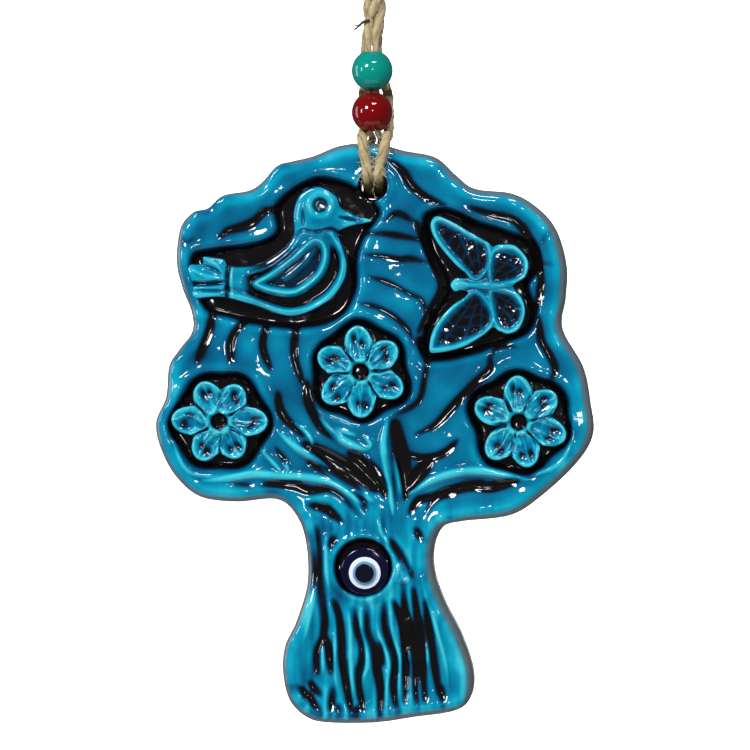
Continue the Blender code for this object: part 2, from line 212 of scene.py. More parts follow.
@dataclass(frozen=True)
class Glaze:
    """Turquoise glaze that runs thin on ridges and pools nearly black in hollows."""

    name: str = "turquoise_glaze"
    black: tuple = (0.0035, 0.0028, 0.0035)
    navy: tuple = (0.0005, 0.018, 0.045)
    deep: tuple = (0.0, 0.085, 0.185)
    body: tuple = (0.0, 0.160, 0.295)
    light: tuple = (0.0, 0.30, 0.45)
    pale: tuple = (0.05, 0.54, 0.64)
    clay: tuple = (0.50, 0.47, 0.42)
    # Grey of the sides: painted shade and grazing reflection on the rounded rim and walls.
    edge: tuple = (0.12, 0.155, 0.17)
    roughness: float = 0.05

    def material(self) -> bpy.types.Material:
        """Build the glaze: hollows and ridges come from the mesh's own numbers."""
        sheet = NodeSheet(self.name)
        where = sheet.coordinates()
        clouds = sheet.noise(where, 95.0, 3.0)
        grain = sheet.noise(where, 520.0, 4.0, 0.6)
        tone = sheet.attribute("tone") + (clouds - 0.5) * 0.13 + (grain - 0.5) * 0.05
        colour = sheet.ramp(tone.clipped(), [
            (0.0, self.black), (1.0, self.pale), (0.12, self.black), (0.24, self.navy),
            (0.36, self.deep), (0.49, self.body), (0.63, self.light), (0.86, self.pale)])
        wall = sheet.attribute("wall")
        bare = sheet.attribute("bare")
        speckle = sheet.ramp(sheet.noise(where, 900.0, 2.0, 0.7), [
            (0.0, tuple(0.75 * c for c in self.clay)), (1.0, self.clay)])
        # Painted shade and reflection: the sides turn to the grey by the mesh's wall share.
        sides = sheet.mix((wall * (0.75 + clouds * 0.4)).clipped(), colour, opaque(self.edge))
        skin = sheet.mix(bare, sides, speckle)
        ripple = sheet.noise(where, 210.0, 2.0, 0.45)
        pits = sheet.noise(where, 1500.0, 3.0, 0.6)
        soft = sheet.bump(ripple * (1 - bare) + pits * bare * 0.8, 0.15)
        fine = sheet.node("ShaderNodeBump", {},
                          {"Height": grain, "Distance": 0.02 * MM, "Normal": soft})
        hollow = (1 - tone * 5.0).clipped()
        rough = self.roughness + bare * 0.68 + wall * 0.30 + hollow * 0.05 + (clouds - 0.5) * 0.03
        return sheet.finish(Base_Color=skin, Roughness=rough, Normal=fine, IOR=1.52,
                            Specular_IOR_Level=0.45)


@dataclass(frozen=True)
class ClearGlass:
    """Glossy coloured glass or bead lacquer, with faint swirls of its own colour."""

    name: str
    colour: tuple[float, float, float]
    swirl: tuple[float, float, float]
    roughness: float = 0.05
    scale: float = 260.0

    def material(self) -> bpy.types.Material:
        """Build the glass."""
        sheet = NodeSheet(self.name)
        where = sheet.coordinates((1, 1, 2.2))
        swirls = sheet.noise(where, self.scale, 4.0, 0.55)
        colour = sheet.mix(swirls, opaque(self.colour), opaque(self.swirl))
        wear = sheet.noise(where, 900.0, 2.0)
        return sheet.finish(Base_Color=colour, Roughness=self.roughness + wear * 0.04,
                            Normal=sheet.bump(swirls, 0.03), IOR=1.5)


@dataclass(frozen=True)
class GlueFinish:
    """Hardened clear glue, yellowed a little, in the recess under the eye."""

    name: str = "hard_glue"

    def material(self) -> bpy.types.Material:
        """Build the glue."""
        sheet = NodeSheet(self.name)
        lumps = sheet.noise(sheet.coordinates(), 700.0, 3.0)
        colour = sheet.mix(lumps, (0.16, 0.14, 0.08, 1), (0.30, 0.27, 0.18, 1))
        return sheet.finish(Base_Color=colour, Roughness=0.25 + lumps * 0.2,
                            Normal=sheet.bump(lumps, 0.15))


@dataclass(frozen=True)
class Jute:
    """Loosely laid jute: pale fibres with darker gaps along the lay, which are painted shade in the
    crevices between the plies.
    """

    name: str = "jute_fibre"
    pale: tuple = (0.46, 0.375, 0.225)
    straw: tuple = (0.29, 0.218, 0.108)
    # Darkest jute: the fibres' own dark parts, and the painted shade of crevices, the hole and the
    # gap between the beads.
    gap: tuple = (0.070, 0.046, 0.020)

    def material(self) -> bpy.types.Material:
        """Build the fibre pattern from the strand's own round and along numbers, darkened where the
        strand holds painted shade.
        """
        sheet = NodeSheet(self.name)
        uv = sheet.node("ShaderNodeUVMap", {"uv_map": "lay"}, {})
        along = sheet.node("ShaderNodeMapping", {}, {"Vector": uv, "Scale": (17.0, 2.1, 1.0)})
        thick = sheet.node("ShaderNodeMapping", {}, {"Vector": uv, "Scale": (7.0, 1.0, 1.0)})
        hairs = sheet.noise(along, 1.0, 5.0, 0.65)
        bundles = sheet.noise(thick, 1.0, 2.0, 0.5)
        # Painted shade held by the strand darkens the fibres.
        painted_shade = sheet.attribute("painted_shade")
        shade = (hairs * 0.62 + bundles * 0.38 - painted_shade * 0.34 + 0.10).clipped()
        colour = sheet.ramp(shade, [(0.0, self.gap), (1.0, (0.58, 0.50, 0.33)),
                                    (0.30, self.gap), (0.46, self.straw), (0.62, self.pale)])
        return sheet.finish(Base_Color=colour, Roughness=0.86,
                            Normal=sheet.bump(hairs, 0.22, 0.9), Specular_IOR_Level=0.25)


@dataclass(frozen=True)
class Fibre:
    """Single stray fibres, all of one plain tone with a slight change along them."""

    name: str
    dark: tuple[float, float, float]
    pale: tuple[float, float, float]

    def material(self) -> bpy.types.Material:
        """Build the fibre's colour."""
        sheet = NodeSheet(self.name)
        share = sheet.noise(sheet.coordinates(), 450.0, 2.0)
        colour = sheet.mix(share, opaque(self.dark), opaque(self.pale))
        return sheet.finish(Base_Color=colour, Roughness=0.75)


@dataclass(frozen=True)
class StudioPaper:
    """Pale matt paper for the floor and the backdrop."""

    name: str
    tone: float

    def material(self) -> bpy.types.Material:
        """Build the paper."""
        sheet = NodeSheet(self.name)
        share = sheet.noise(sheet.coordinates(), 3.0, 2.0)
        low, high = (opaque((self.tone * k,) * 3) for k in (0.985, 1.0))
        return sheet.finish(Base_Color=sheet.mix(share, low, high), Roughness=0.9)


# ------------------------------------------------------------------ curves
def smooth_line(points: Points | Array, spacing: float, closed: bool = False) -> Array:
    """Run a smooth curve (Catmull-Rom) through points and read it at even steps.

    Each stretch is the cubic whose slope at a point is half the way between its neighbours.

    Args:
        points: the points, each of two or more numbers; the first two or three are lengths.
        spacing: distance between the points handed back.
        closed: whether the curve returns to its start.

    Returns:
        Points along the curve; a closed curve doesn't repeat its first point.
    """
    given = np.asarray(points, float)
    if closed:
        around = np.vstack([given[-1:], given, given[:2]])
    else:
        around = np.vstack([2 * given[:1] - given[1:2], given, 2 * given[-1:] - given[-2:-1]])
    a, b, c, d = (around[k:len(around) - 3 + k, None] for k in range(4))
    t = np.linspace(0, 1, 24, endpoint=False)[None, :, None]
    curve = 0.5 * (2 * b + (c - a) * t + (2 * a - 5 * b + 4 * c - d) * t ** 2
                   + (3 * b - a - 3 * c + d) * t ** 3)
    dense = np.vstack([curve.reshape(-1, given.shape[1]), (given[:1] if closed else given[-1:])])
    lengths = np.linalg.norm(np.diff(dense[:, :3], axis=0), axis=1)
    travelled = np.concatenate([[0.0], np.cumsum(lengths)])
    count = max(int(round(travelled[-1] / spacing)), 8)
    stations = np.linspace(0, travelled[-1], count + 1)
    even = np.stack([np.interp(stations, travelled, dense[:, k])
                     for k in range(dense.shape[1])], axis=1)
    return even[:-1] if closed else even


def ring_blur(values: Array, reach: float) -> Array:
    """Smooth values along a closed ring with a bell curve; reach is its spread in steps."""
    count = len(values)
    waves = np.fft.rfftfreq(count)
    bell = np.exp(-2 * (math.pi * reach * waves) ** 2)
    return np.fft.irfft(np.fft.rfft(values, axis=0) * bell[:, None], count, axis=0)


def outward(loop: Array, soften: float) -> Array:
    """Give the outward normals of a loop that runs either way, smoothed along it.

    Args:
        loop: points of the loop.
        soften: spread of the smoothing, in steps.

    Returns:
        One unit vector for each point.
    """
    along = np.roll(loop, -1, axis=0) - np.roll(loop, 1, axis=0)
    turn = np.sign(signed_area(loop))
    across = ring_blur(np.stack([along[:, 1], -along[:, 0]], axis=1) * turn, soften)
    return across / np.linalg.norm(across, axis=1, keepdims=True)


def signed_area(loop: Array) -> float:
    """Give a loop's area, above zero where it runs anticlockwise."""
    x, z = loop.T
    return 0.5 * float(np.sum(x * np.roll(z, -1) - z * np.roll(x, -1)))


def room_inside(loop: Array, normal: Array, most: float) -> Array:
    """Find how far a loop can be set in at each point before it meets itself.

    The room is the radius of the largest circle that touches the loop there from within, which
    is the least |q - p|² / 2(q - p)·m over the other points q, for the inward direction m.

    Args:
        loop: points of the loop.
        normal: its outward directions.
        most: the widest inset wanted.

    Returns:
        The inset at each point, smoothed along the loop.
    """
    apart = loop[None] - loop[:, None]
    inward = -np.einsum("pqk,pk->pq", apart, normal)
    squares = (apart ** 2).sum(axis=2)
    radius = np.where(inward > 1e-6, squares / (2 * inward.clip(1e-6)), np.inf).min(axis=1)
    room = np.minimum(0.75 * radius, most)
    for _ in range(4):
        room = np.minimum(room, 0.5 * (np.roll(room, 1) + np.roll(room, -1)))
    return np.minimum(ring_blur(room[:, None], 2.0)[:, 0], most)


def circle(centre: tuple[float, float], radius: float, count: int) -> Array:
    """Give points round a circle."""
    angle = 2 * math.pi * np.arange(count) / count
    return np.stack([centre[0] + radius * np.cos(angle), centre[1] + radius * np.sin(angle)], 1)


def ramp_up(value: Array, low: float, high: float) -> Array:
    """Rise smoothly (3t² - 2t³) from 0 at low to 1 at high."""
    t = np.clip((value - low) / (high - low), 0, 1)
    return t * t * (3 - 2 * t)


def bell(value: Array, spread: float) -> Array:
    """Give a bell curve of the given spread."""
    return np.exp(-(value / spread) ** 2)


# ------------------------------------------------------------------ relief
@dataclass(frozen=True)
class Stroke:
    """A modelled line: half its width and how deep or high it is, in mm.

    `blunt` is the share of the width that is left at its ends.
    """

    half_width: float
    size: float
    points: Points
    blunt: float = 0.35


def strokes(half_width: float, size: float, *lines: Points, blunt: float = 0.5) -> list[Stroke]:
    """Give one stroke of the same section for each line."""
    return [Stroke(half_width, size, line, blunt) for line in lines]


class Relief:
    """Heights over a rectangle of the drawing, in mm towards the viewer, on an even raster."""

    def __init__(self, low: tuple[float, float], high: tuple[float, float], step: float) -> None:
        """Lay out the raster from its low to its high corner."""
        self.low, self.step = np.array(low, float), step
        count = [int(math.ceil((h - l) / step)) + 1 for l, h in zip(low, high)]
        self.x, self.z = np.meshgrid(low[0] + step * np.arange(count[0]),
                                     low[1] + step * np.arange(count[1]))
        self.height = np.zeros_like(self.x)

    def _window(self, line: Array, reach: float) -> tuple[slice, slice]:
        """Give the raster cells within reach of a line's box."""
        first = np.floor((line.min(0) - reach - self.low) / self.step).astype(int).clip(0)
        last = np.ceil((line.max(0) + reach - self.low) / self.step).astype(int).clip(0) + 1
        return slice(first[1], last[1]), slice(first[0], last[0])

    def near(self, line: Array, reach: float) -> tuple[tuple[slice, slice], Array, Array]:
        """Measure the distance to a line around it.

        Args:
            line: its points, from end to end.
            reach: how far from the line to look.

        Returns:
            The window of cells, the distance at each, and how far along the nearest place is,
            from 0 to 1.
        """
        window = self._window(line, reach)
        x, z = self.x[window], self.z[window]
        distance, along = np.full(x.shape, np.inf), np.zeros(x.shape)
        for index, (start, end) in enumerate(zip(line, line[1:])):
            step = end - start
            share = ((x - start[0]) * step[0] + (z - start[1]) * step[1]) / (step @ step + 1e-12)
            share = share.clip(0, 1)
            here = np.hypot(x - start[0] - share * step[0], z - start[1] - share * step[1])
            closer = here < distance
            distance[closer] = here[closer]
            along[closer] = ((index + share) / (len(line) - 1))[closer]
        return window, distance, along

    def inside(self, loop: Array, reach: float) -> Array:
        """Measure how far inside a loop each cell is, up to reach; outside is below zero."""
        closed = np.vstack([loop, loop[:1]])
        depth = np.full(self.x.shape, reach, float)
        within = np.zeros(self.x.shape, bool)
        for start, end in zip(closed, closed[1:]):
            segment = np.stack([start, end])
            window, distance, _ = self.near(segment, reach)
            depth[window] = np.minimum(depth[window], distance)
            low, high = sorted((start[1], end[1]))
            rows = (self.z[:, 0] > low) & (self.z[:, 0] <= high)
            crossing = start[0] + (self.z[rows, 0] - start[1]) * (
                (end[0] - start[0]) / (end[1] - start[1] + 1e-12))
            within[rows] ^= self.x[rows] < crossing[:, None]
        return np.where(within, depth, -depth)

    def drawn(self, lines: Iterable[Stroke]) -> Array:
        """Give the highest of the strokes at each cell, each a round hump that thins at its ends.

        A stroke's section is (1 - d²)^1.5 of the distance d from its middle line.
        """
        total = np.zeros_like(self.x)
        for stroke in lines:
            route = smooth_line(stroke.points, 0.8)
            window, distance, along = self.near(route, stroke.half_width)
            swell = stroke.blunt + (1 - stroke.blunt) * np.sin(math.pi * along) ** 0.6
            hump = (1 - (distance / (stroke.half_width * swell)) ** 2).clip(0) ** 1.5
            total[window] = np.maximum(total[window], stroke.size * hump * swell)
        return total

    def blurred(self, values: Array, spread: float, upright: float = 1.0) -> Array:
        """Smooth a field with a bell curve of the given spread in mm.

        Args:
            values: the field.
            spread: the bell's spread across.
            upright: how many times wider it is upwards.

        Returns:
            The smooth field.
        """
        rows, columns = values.shape
        scale = spread / self.step
        down = np.exp(-2 * (math.pi * upright * scale * np.fft.fftfreq(rows)) ** 2)[:, None]
        across = np.exp(-2 * (math.pi * scale * np.fft.rfftfreq(columns)) ** 2)[None, :]
        return np.fft.irfft2(np.fft.rfft2(values) * down * across, values.shape)

    def uneven(self, spread: float, size: float, seed: int, upright: float = 1.0) -> Array:
        """Give soft hand-made unevenness of a typical width and height."""
        rough = np.random.default_rng(seed).normal(size=self.x.shape)
        soft = self.blurred(rough, spread, upright)
        return soft * size / soft.std()

    def read(self, values: Array, points: Array) -> Array:
        """Read a field at points, straight between the four cells round each."""
        grid = (points - self.low) / self.step
        limit = np.array(self.x.shape[::-1]) - 2
        cell = np.floor(grid).astype(int).clip(0, limit)
        part = (grid - cell).clip(0, 1)
        column, row = cell.T
        across, up = part.T
        lower = values[row, column] * (1 - across) + values[row, column + 1] * across
        upper = values[row + 1, column] * (1 - across) + values[row + 1, column + 1] * across
        return lower * (1 - up) + upper * up


def glaze_tone(relief: Relief, surface: Array, pools: Array | float = 0.0,
               near_share: float = 0.38, wide_share: float = 0.26) -> Array:
    """Work out how light the glaze looks: thin on ridges, pooled in hollows.

    The tone is a middle one, plus what stands above its surroundings and less what lies below
    them at two sizes of neighbourhood, less the added pools.

    Args:
        relief: the raster.
        surface: heights, with the sprigs that lie in the pockets.
        pools: further darkening.
        near_share: weight of the smaller neighbourhood.
        wide_share: weight of the larger one.

    Returns:
        The tone at each cell; 0 is nearly black and 1 is the palest.
    """
    near = surface - relief.blurred(surface, 0.7)
    wide = surface - relief.blurred(surface, 2.0)
    return 0.48 + near_share * near + wide_share * wide - pools


# ------------------------------------------------------------------ meshes
def new_piece(name: str, vertices: Array, faces: Sequence, material: bpy.types.Material,
              slot: str, body: str | None) -> bpy.types.Object:
    """Make a piece in the scene from arrays in metres, dress it, and let it ride on a body."""
    mesh = bpy.data.meshes.new(name)
    mesh.from_pydata(vertices, [], faces)
    mesh.polygons.foreach_set("use_smooth", np.ones(len(mesh.polygons), bool))
    mesh.materials.append(material)
    piece = bpy.data.objects.new(name, mesh)
    bpy.context.scene.collection.objects.link(piece)
    if body:
        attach(piece, body)
    LOG.info("%s: %d faces, slot %s, body %s", name, len(faces), slot, body)
    return piece


def write_number(piece: bpy.types.Object, name: str, values: Array) -> None:
    """Store one number at each point of a mesh."""
    held = piece.data.attributes.new(name, "FLOAT", "POINT")
    held.data.foreach_set("value", np.asarray(values, np.float32))


def strip(first: Array, second: Array) -> Array:
    """Join two rings of point numbers with quads; the faces look away from first to second."""
    return np.stack([first, second, np.roll(second, -1), np.roll(first, -1)], axis=1)


def filled(loops: list[Array], spacing: float, margin: float, inside: Array) -> tuple[Array, Array]:
    """Fill a flat shape with evenly spread triangles.

    Args:
        loops: the rim, then the rims of any holes, as points.
        spacing: distance between the points of the filling.
        margin: clearance between the filling's points and the rims.
        inside: a raster and its field of depths inside the shape.

    Returns:
        All the points, with the loops' points first and in order, and the triangles.
    """
    relief, depths = inside
    low, high = loops[0].min(0), loops[0].max(0)
    x, z = np.meshgrid(np.arange(low[0], high[0], spacing), np.arange(low[1], high[1], spacing))
    x[1::2] += spacing / 2
    grid = np.stack([x.ravel(), z.ravel()], axis=1)
    grid = grid[relief.read(depths, grid) > margin]
    edges, start = [], 0
    for loop in loops:
        numbers = np.arange(start, start + len(loop))
        edges += np.stack([numbers, np.roll(numbers, -1)], axis=1).tolist()
        start += len(loop)
    points = np.vstack([*loops, grid])
    made = delaunay_2d_cdt([Vector(p) for p in points.tolist()], edges, [], 1, 1e-7, False)
    if len(made[0]) != len(points):
        LOG.warning("a rim crosses itself: %d points became %d", len(points), len(made[0]))
        points = np.array([tuple(p) for p in made[0]])
    faces = np.array(made[2])
    middles = points[faces].mean(axis=1)
    return points, faces[relief.read(depths, middles) > 0.0]


@dataclass
class Shell:
    """A moulding's points and faces while they are gathered, with the glaze's three numbers."""

    points: list[Array] = field(default_factory=list)
    faces: list[list[int]] = field(default_factory=list)
    glaze: dict[str, list[Array]] = field(
        default_factory=lambda: {"tone": [], "wall": [], "bare": []})
    total: int = 0

    def add(self, plan: Array, y: Array | float, **glaze: Array | float) -> Array:
        """Add points.

        Args:
            plan: their x and z.
            y: their depth.
            glaze: "tone", "wall" and "bare" at each; what isn't given is 0.

        Returns:
            The points' numbers in the mesh.
        """
        count = len(plan)
        self.points.append(np.stack([plan[:, 0], np.broadcast_to(y, count), plan[:, 1]], axis=1))
        for name, values in self.glaze.items():
            values.append(np.broadcast_to(glaze.get(name, 0.0), count))
        self.total += count
        return np.arange(self.total - count, self.total)


@dataclass
class Rim:
    """One edge of a moulding: its loop, outward directions, room to be set in, and rounding."""

    loop: Array
    normal: Array
    room: Array
    size: float

    def inner(self) -> Array:
        """Give the loop set in by its room, where the flat face ends."""
        return self.loop - self.normal * self.room[:, None]


@dataclass
class Moulding:
    """A flat moulded body with relief on its face: a face, a rounded rim, walls and a back.

    Its face is a filled outline lifted by the relief. From the face's edge, rings follow the
    outline's normals through a quarter round, down the wall and round to the back.
    """

    name: str
    node: str
    outline: Array
    front: float
    back: float
    rim: float
    relief: Relief
    spacing: float
    tone: Array
    wall_tone: float = 0.5
    holes: list[tuple[tuple[float, float], float]] = field(default_factory=list)
    hole_rim: float = 0.9
    # Painted shade: the cord hole's walls get a nearly black tone, as the hole lies in shadow.
    hole_shade_tone: float = 0.08
    back_rim: float = 0.0
    # Whether the outer wall turns to the grey of painted shade and grazing reflection.
    grey_shaded_wall: bool = False
    bare_back: bool = False

    def _profile(self, front_rim: float, rings: int = 8) -> tuple[Array, Array]:
        """Give each ring's way out from the face's edge and its depth."""
        turn = np.linspace(0, math.pi / 2, rings + 1)
        out = front_rim * np.sin(turn)
        down = front_rim * (1 - np.cos(turn))
        thickness = self.back - self.front
        flat = np.linspace(front_rim, thickness - self.back_rim, 5)[1:]
        out = np.concatenate([out, np.full(len(flat), front_rim)])
        down = np.concatenate([down, flat])
        if self.back_rim:
            turn = np.linspace(0, math.pi / 2, rings // 2 + 1)[1:]
            out = np.concatenate([out, front_rim - self.back_rim * (1 - np.cos(turn))])
            down = np.concatenate([down, thickness - self.back_rim * (1 - np.sin(turn))])
        return out, down

    def _rims(self) -> list[Rim]:
        """Give the outer rim, then the holes'."""
        normal = outward(self.outline, 0.8 * self.rim / self.spacing)
        rims = [Rim(self.outline, normal, room_inside(self.outline, normal, self.rim), self.rim)]
        for centre, radius in self.holes:
            ring = circle(centre, radius, int(2 * math.pi * radius / self.spacing))
            rims.append(Rim(ring, -outward(ring, 0.5), np.full(len(ring), self.hole_rim),
                            self.hole_rim))
        return rims

    def _depths(self, loop: Array, lip: float) -> Array:
        """Measure how far each cell lies inside a loop and outside the holes and their lips."""
        depths = self.relief.inside(loop, 3.0)
        for centre, radius in self.holes:
            away = np.hypot(self.relief.x - centre[0], self.relief.z - centre[1])
            depths = np.minimum(depths, away - radius - lip)
        return depths

    def _side(self, shell: Shell, rim: Rim, edge: Array, height: Array,
              tone: Array) -> tuple[Array, Array]:
        """Run rings from an edge of the face down to the back.

        The relief's height and the face's tone fade out on the way. The grey of the wall is
        painted shade and grazing reflection, and it comes in sooner where the wall faces right,
        away from the lamps.

        Args:
            shell: the shell to add to.
            rim: the edge's rim.
            edge: numbers of the edge's points.
            height: the relief's height at each.
            tone: the face's tone at each.

        Returns:
            The last ring's plan and its points' numbers.
        """
        out, down = self._profile(rim.size)
        thickness = self.back - self.front
        # Painted shade: the grey of the wall begins nearer the face where the wall faces right,
        # away from the lamps; thin is how far it faces right.
        thin = rim.normal[:, 0].clip(0, 1)
        grey_from, grey_to = (share * rim.size * (1 - less * thin)
                              for share, less in ((0.06, 0.8), (0.42, 0.6)))
        inner, sweep = rim.inner(), rim.normal * (rim.room / rim.size)[:, None]
        outer = rim.loop is self.outline
        side_tone = self.wall_tone if outer else self.hole_shade_tone
        forward = (signed_area(inner) > 0) == outer
        for reach, depth in zip(out[1:], down[1:]):
            share = ramp_up(depth, grey_from, grey_to)
            worn = ramp_up(np.array(depth), thickness - self.back_rim,
                           thickness - 0.3 * self.back_rim + 1e-6)
            ring = shell.add(inner + sweep * reach,
                             self.front + depth - height * (1 - depth / thickness),
                             tone=tone * (1 - share) + side_tone * share,
                             wall=share * float(outer and self.grey_shaded_wall),
                             bare=float(worn) * self.bare_back)
            shell.faces += strip(*((edge, ring) if forward else (ring, edge))).tolist()
            edge = ring
        return inner + sweep * out[-1], edge

    def _close_back(self, shell: Shell, ends: list[tuple[Array, Array]]) -> None:
        """Fill the back between the last rings."""
        loops = [plan for plan, _ in ends]
        plan, faces = filled(loops, max(4 * self.spacing, 0.8), 0.5,
                             (self.relief, self._depths(loops[0], 0.0)))
        middle = shell.add(plan[sum(map(len, loops)):], self.back, tone=self.wall_tone,
                           bare=float(self.bare_back))
        numbers = np.concatenate([ring for _, ring in ends] + [middle])
        shell.faces += numbers[faces[:, ::-1]].tolist()

    def build(self, material: bpy.types.Material, slot: str) -> bpy.types.Object:
        """Make the piece.

        Args:
            material: its finish.
            slot: the slot that the finish comes from, which is only logged.

        Returns:
            The piece, riding on the tree.
        """
        shell, rims = Shell(), self._rims()
        loops = [rim.inner() for rim in rims]
        plan, faces = filled(loops, self.spacing, 0.55 * self.spacing,
                             (self.relief, self._depths(loops[0], self.hole_rim)))
        height = self.relief.read(self.relief.height, plan)
        tone = self.relief.read(self.tone, plan)
        shell.add(plan, self.front - height, tone=tone)
        shell.faces += faces.tolist()
        ends, start = [], 0
        for rim in rims:
            edge = np.arange(start, start + len(rim.loop))
            ends.append(self._side(shell, rim, edge, height[edge], tone[edge]))
            start += len(edge)
        self._close_back(shell, ends)
        piece = new_piece(self.name, place(np.vstack(shell.points)), shell.faces, material, slot,
                          TREE_BODY)
        for name, values in shell.glaze.items():
            write_number(piece, name, np.concatenate(values))
        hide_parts(self.node)
        return piece


def turned(name: str, profile: Array, centre: tuple[float, float, float], axis: str,
           material: bpy.types.Material, slot: str, body: str, count: int = 96) -> bpy.types.Object:
    """Turn a profile of (radius, height) about an axis through centre, in mm.

    A point at angle a is (radius·cos a, radius·sin a, height). Where the profile starts or ends
    on the axis, it closes in a pole; a profile that returns to its start is a ring.

    Args:
        name: the piece's name.
        profile: points from its start to its end, with the outer side to the right.
        centre: place of the profile's zero in the drawing frame.
        axis: "z" for upright, "y" for facing the viewer.
        material: its finish.
        slot: the finish's slot, which is only logged.
        body: the body it rides on.
        count: how many steps round.

    Returns:
        The piece.
    """
    closed = profile[0, 0] > 1e-6 and profile[-1, 0] > 1e-6
    angle = 2 * math.pi * np.arange(count) / count
    rows = profile if closed else profile[1:-1]
    radius, height = rows[:, :1], np.broadcast_to(rows[:, 1:], (len(rows), count))
    across, up = radius * np.cos(angle), radius * np.sin(angle)
    grid = np.stack([across, up, height] if axis == "z" else [across, -height, up], axis=2)
    points = grid.reshape(-1, 3)
    numbers = np.arange(len(points)).reshape(len(rows), count)
    pairs = list(zip(numbers, numbers[1:])) + ([(numbers[-1], numbers[0])] if closed else [])
    faces = [face for first, second in pairs for face in strip(first, second).tolist()]
    if not closed:
        poles = [(0.0, 0.0, profile[k, 1]) if axis == "z" else (0.0, -profile[k, 1], 0.0)
                 for k in (0, -1)]
        points = np.vstack([points, poles])
        first, last = len(points) - 2, len(points) - 1
        top, bottom = numbers[0], numbers[-1]
        faces += np.stack([np.full(count, first), top, np.roll(top, -1)], 1).tolist()
        faces += np.stack([np.full(count, last), np.roll(bottom, -1), bottom], 1).tolist()
    piece = new_piece(name, place(points + centre), faces, material, slot, body)
    return piece


# ------------------------------------------------------------------ the drawing
TREE_RIM: Points = [
    (0, 143), (-8, 142.5), (-15, 139.9), (-20, 138.7), (-24, 137.5), (-27.7, 133.5), (-31, 131.4),
    (-37.4, 130.2), (-41.2, 127.1), (-45, 126), (-48.1, 122), (-49, 114), (-47.6, 107.4),
    (-45.2, 101), (-45.2, 96.3), (-48.4, 92), (-50.9, 87.8), (-51.6, 80.4), (-54.2, 73.6),
    (-52.4, 66), (-48.4, 59.6), (-42.8, 55.4), (-34, 54.3), (-24, 54.9), (-19.1, 50.8),
    (-16.8, 44), (-16.5, 34), (-19.1, 24.9), (-22, 18.6), (-22.5, 12), (-20.8, 5.2), (-16.5, 1),
    (-11, -0.3), (0.5, -0.2), (10, 1.2), (20, 2.8), (23.9, 6), (24.6, 12.5), (21.7, 21.5),
    (17.6, 29.6), (15, 37.2), (15, 43.6), (17.2, 48.2), (22, 49.6), (33.7, 51.1), (41.1, 55.6),
    (50, 63.9), (54.1, 71), (53.5, 79), (51.7, 87.7), (46.6, 97.2), (47.4, 105), (47.6, 112.8),
    (45.1, 121.5), (40.3, 127.1), (34.1, 130.5), (25, 131.7), (20.4, 135), (15.4, 139.4),
    (7.8, 141.1),
]
BIRD_POCKET: Points = [
    (-1.2, 120.6), (2.2, 125.6), (-1, 130.4), (-7, 133.8), (-14, 134.7), (-21, 131.4),
    (-24.6, 127), (-24.4, 121.6), (-27, 119.4), (-33, 118.2), (-40, 117.2), (-45, 115.6),
    (-46.6, 109), (-44.6, 103), (-36, 99.4), (-20, 96.7), (-8, 99.6), (-3.8, 106.5), (-3.6, 114),
]
BIRD_RIM: Points = [
    (-0.3, 123.7), (-4.4, 125.4), (-7.6, 127.2), (-9.1, 130.2), (-13.4, 132.4), (-18, 130.6),
    (-19.9, 126), (-19.8, 121), (-21.6, 117.6), (-26, 114.4), (-30, 112.9), (-35.4, 112.8),
    (-37.4, 114.6), (-41.9, 115), (-42.4, 113.3), (-45.6, 113), (-46.5, 110.7), (-45, 108.4),
    (-45.6, 106.4), (-44.2, 104.5), (-37.4, 104.7), (-30, 102.9), (-20, 100), (-11.3, 103.4),
    (-7.2, 108), (-6, 112.6), (-7.2, 117.6), (-8.6, 120.6), (-6.6, 121.8),
]
WING_RIM: Points = [
    (-29.6, 108.1), (-24.9, 105.8), (-18.8, 105.5), (-13, 109.6), (-10.9, 114.6), (-11.8, 118.6),
    (-15, 119.5), (-20, 115.2), (-25.4, 111.2),
]
BUTTERFLY_POCKET: Points = [
    (12.6, 89.2), (22, 89.8), (31, 92.6), (38.6, 96), (40.6, 101.6), (38.6, 107.4), (41.2, 112),
    (39.4, 118.4), (33, 121.6), (25, 124.2), (18, 127.2), (12.2, 125), (13, 116.6), (17.6, 107.6),
    (14.4, 101.4), (12, 96),
]
WINGS: dict[str, Points] = {
    "fore_top": [(25.4, 108.4), (20.4, 112.6), (15.4, 118.6), (14.2, 123), (16.4, 124.8),
                 (20, 123.4), (24.6, 120.6), (28.6, 118.6), (29.6, 113)],
    "hind_top": [(28.6, 108), (28.4, 115), (31, 117.6), (35.4, 117.4), (38.4, 113.8),
                 (37.8, 109.6), (33.6, 107.6)],
    "fore_bottom": [(25.6, 106.9), (19.4, 102.8), (15.2, 97.6), (13.8, 92.2), (16, 91.2),
                    (22.4, 92.6), (28.6, 96), (30.4, 101)],
    "hind_bottom": [(28.6, 107), (29, 100), (30.8, 96.4), (34.4, 95.8), (37.6, 99),
                    (37.6, 103), (34.6, 106.6)],
}
BUTTERFLY_BODY: Points = [(19.4, 108), (21.2, 109.4), (24, 108.9), (29, 109), (34.4, 107.6),
                          (29, 106.3), (24, 106.7), (21, 106.5)]
BUTTERFLY_RIM: Points = [
    (19, 107.9), (20.2, 109.6), (22.2, 109.7), (23.6, 109.8), (19.8, 113.1), (15.4, 118.6),
    (14, 122.6), (15.6, 125), (19.6, 123.7), (24.6, 120.8), (28.4, 118.6), (29.4, 117.4),
    (31.4, 118), (35.4, 117.6), (38.6, 113.8), (37.9, 109.8), (35, 107.9), (34.9, 107), (37, 104.8),
    (37.9, 101), (36.4, 97), (33.6, 95.6), (31.2, 96.3), (29.6, 97.2), (27.6, 95.4), (22.4, 92.4),
    (16.4, 91), (13.8, 91.8), (14.8, 97.2), (18.8, 102.4), (23.2, 105.6), (21.8, 106.4),
    (20, 106.2),
]
EYE_RECESS = ((-2.5, 38.2), 7.3)
CORD_HOLE = ((0.0, 132.3), 3.25)

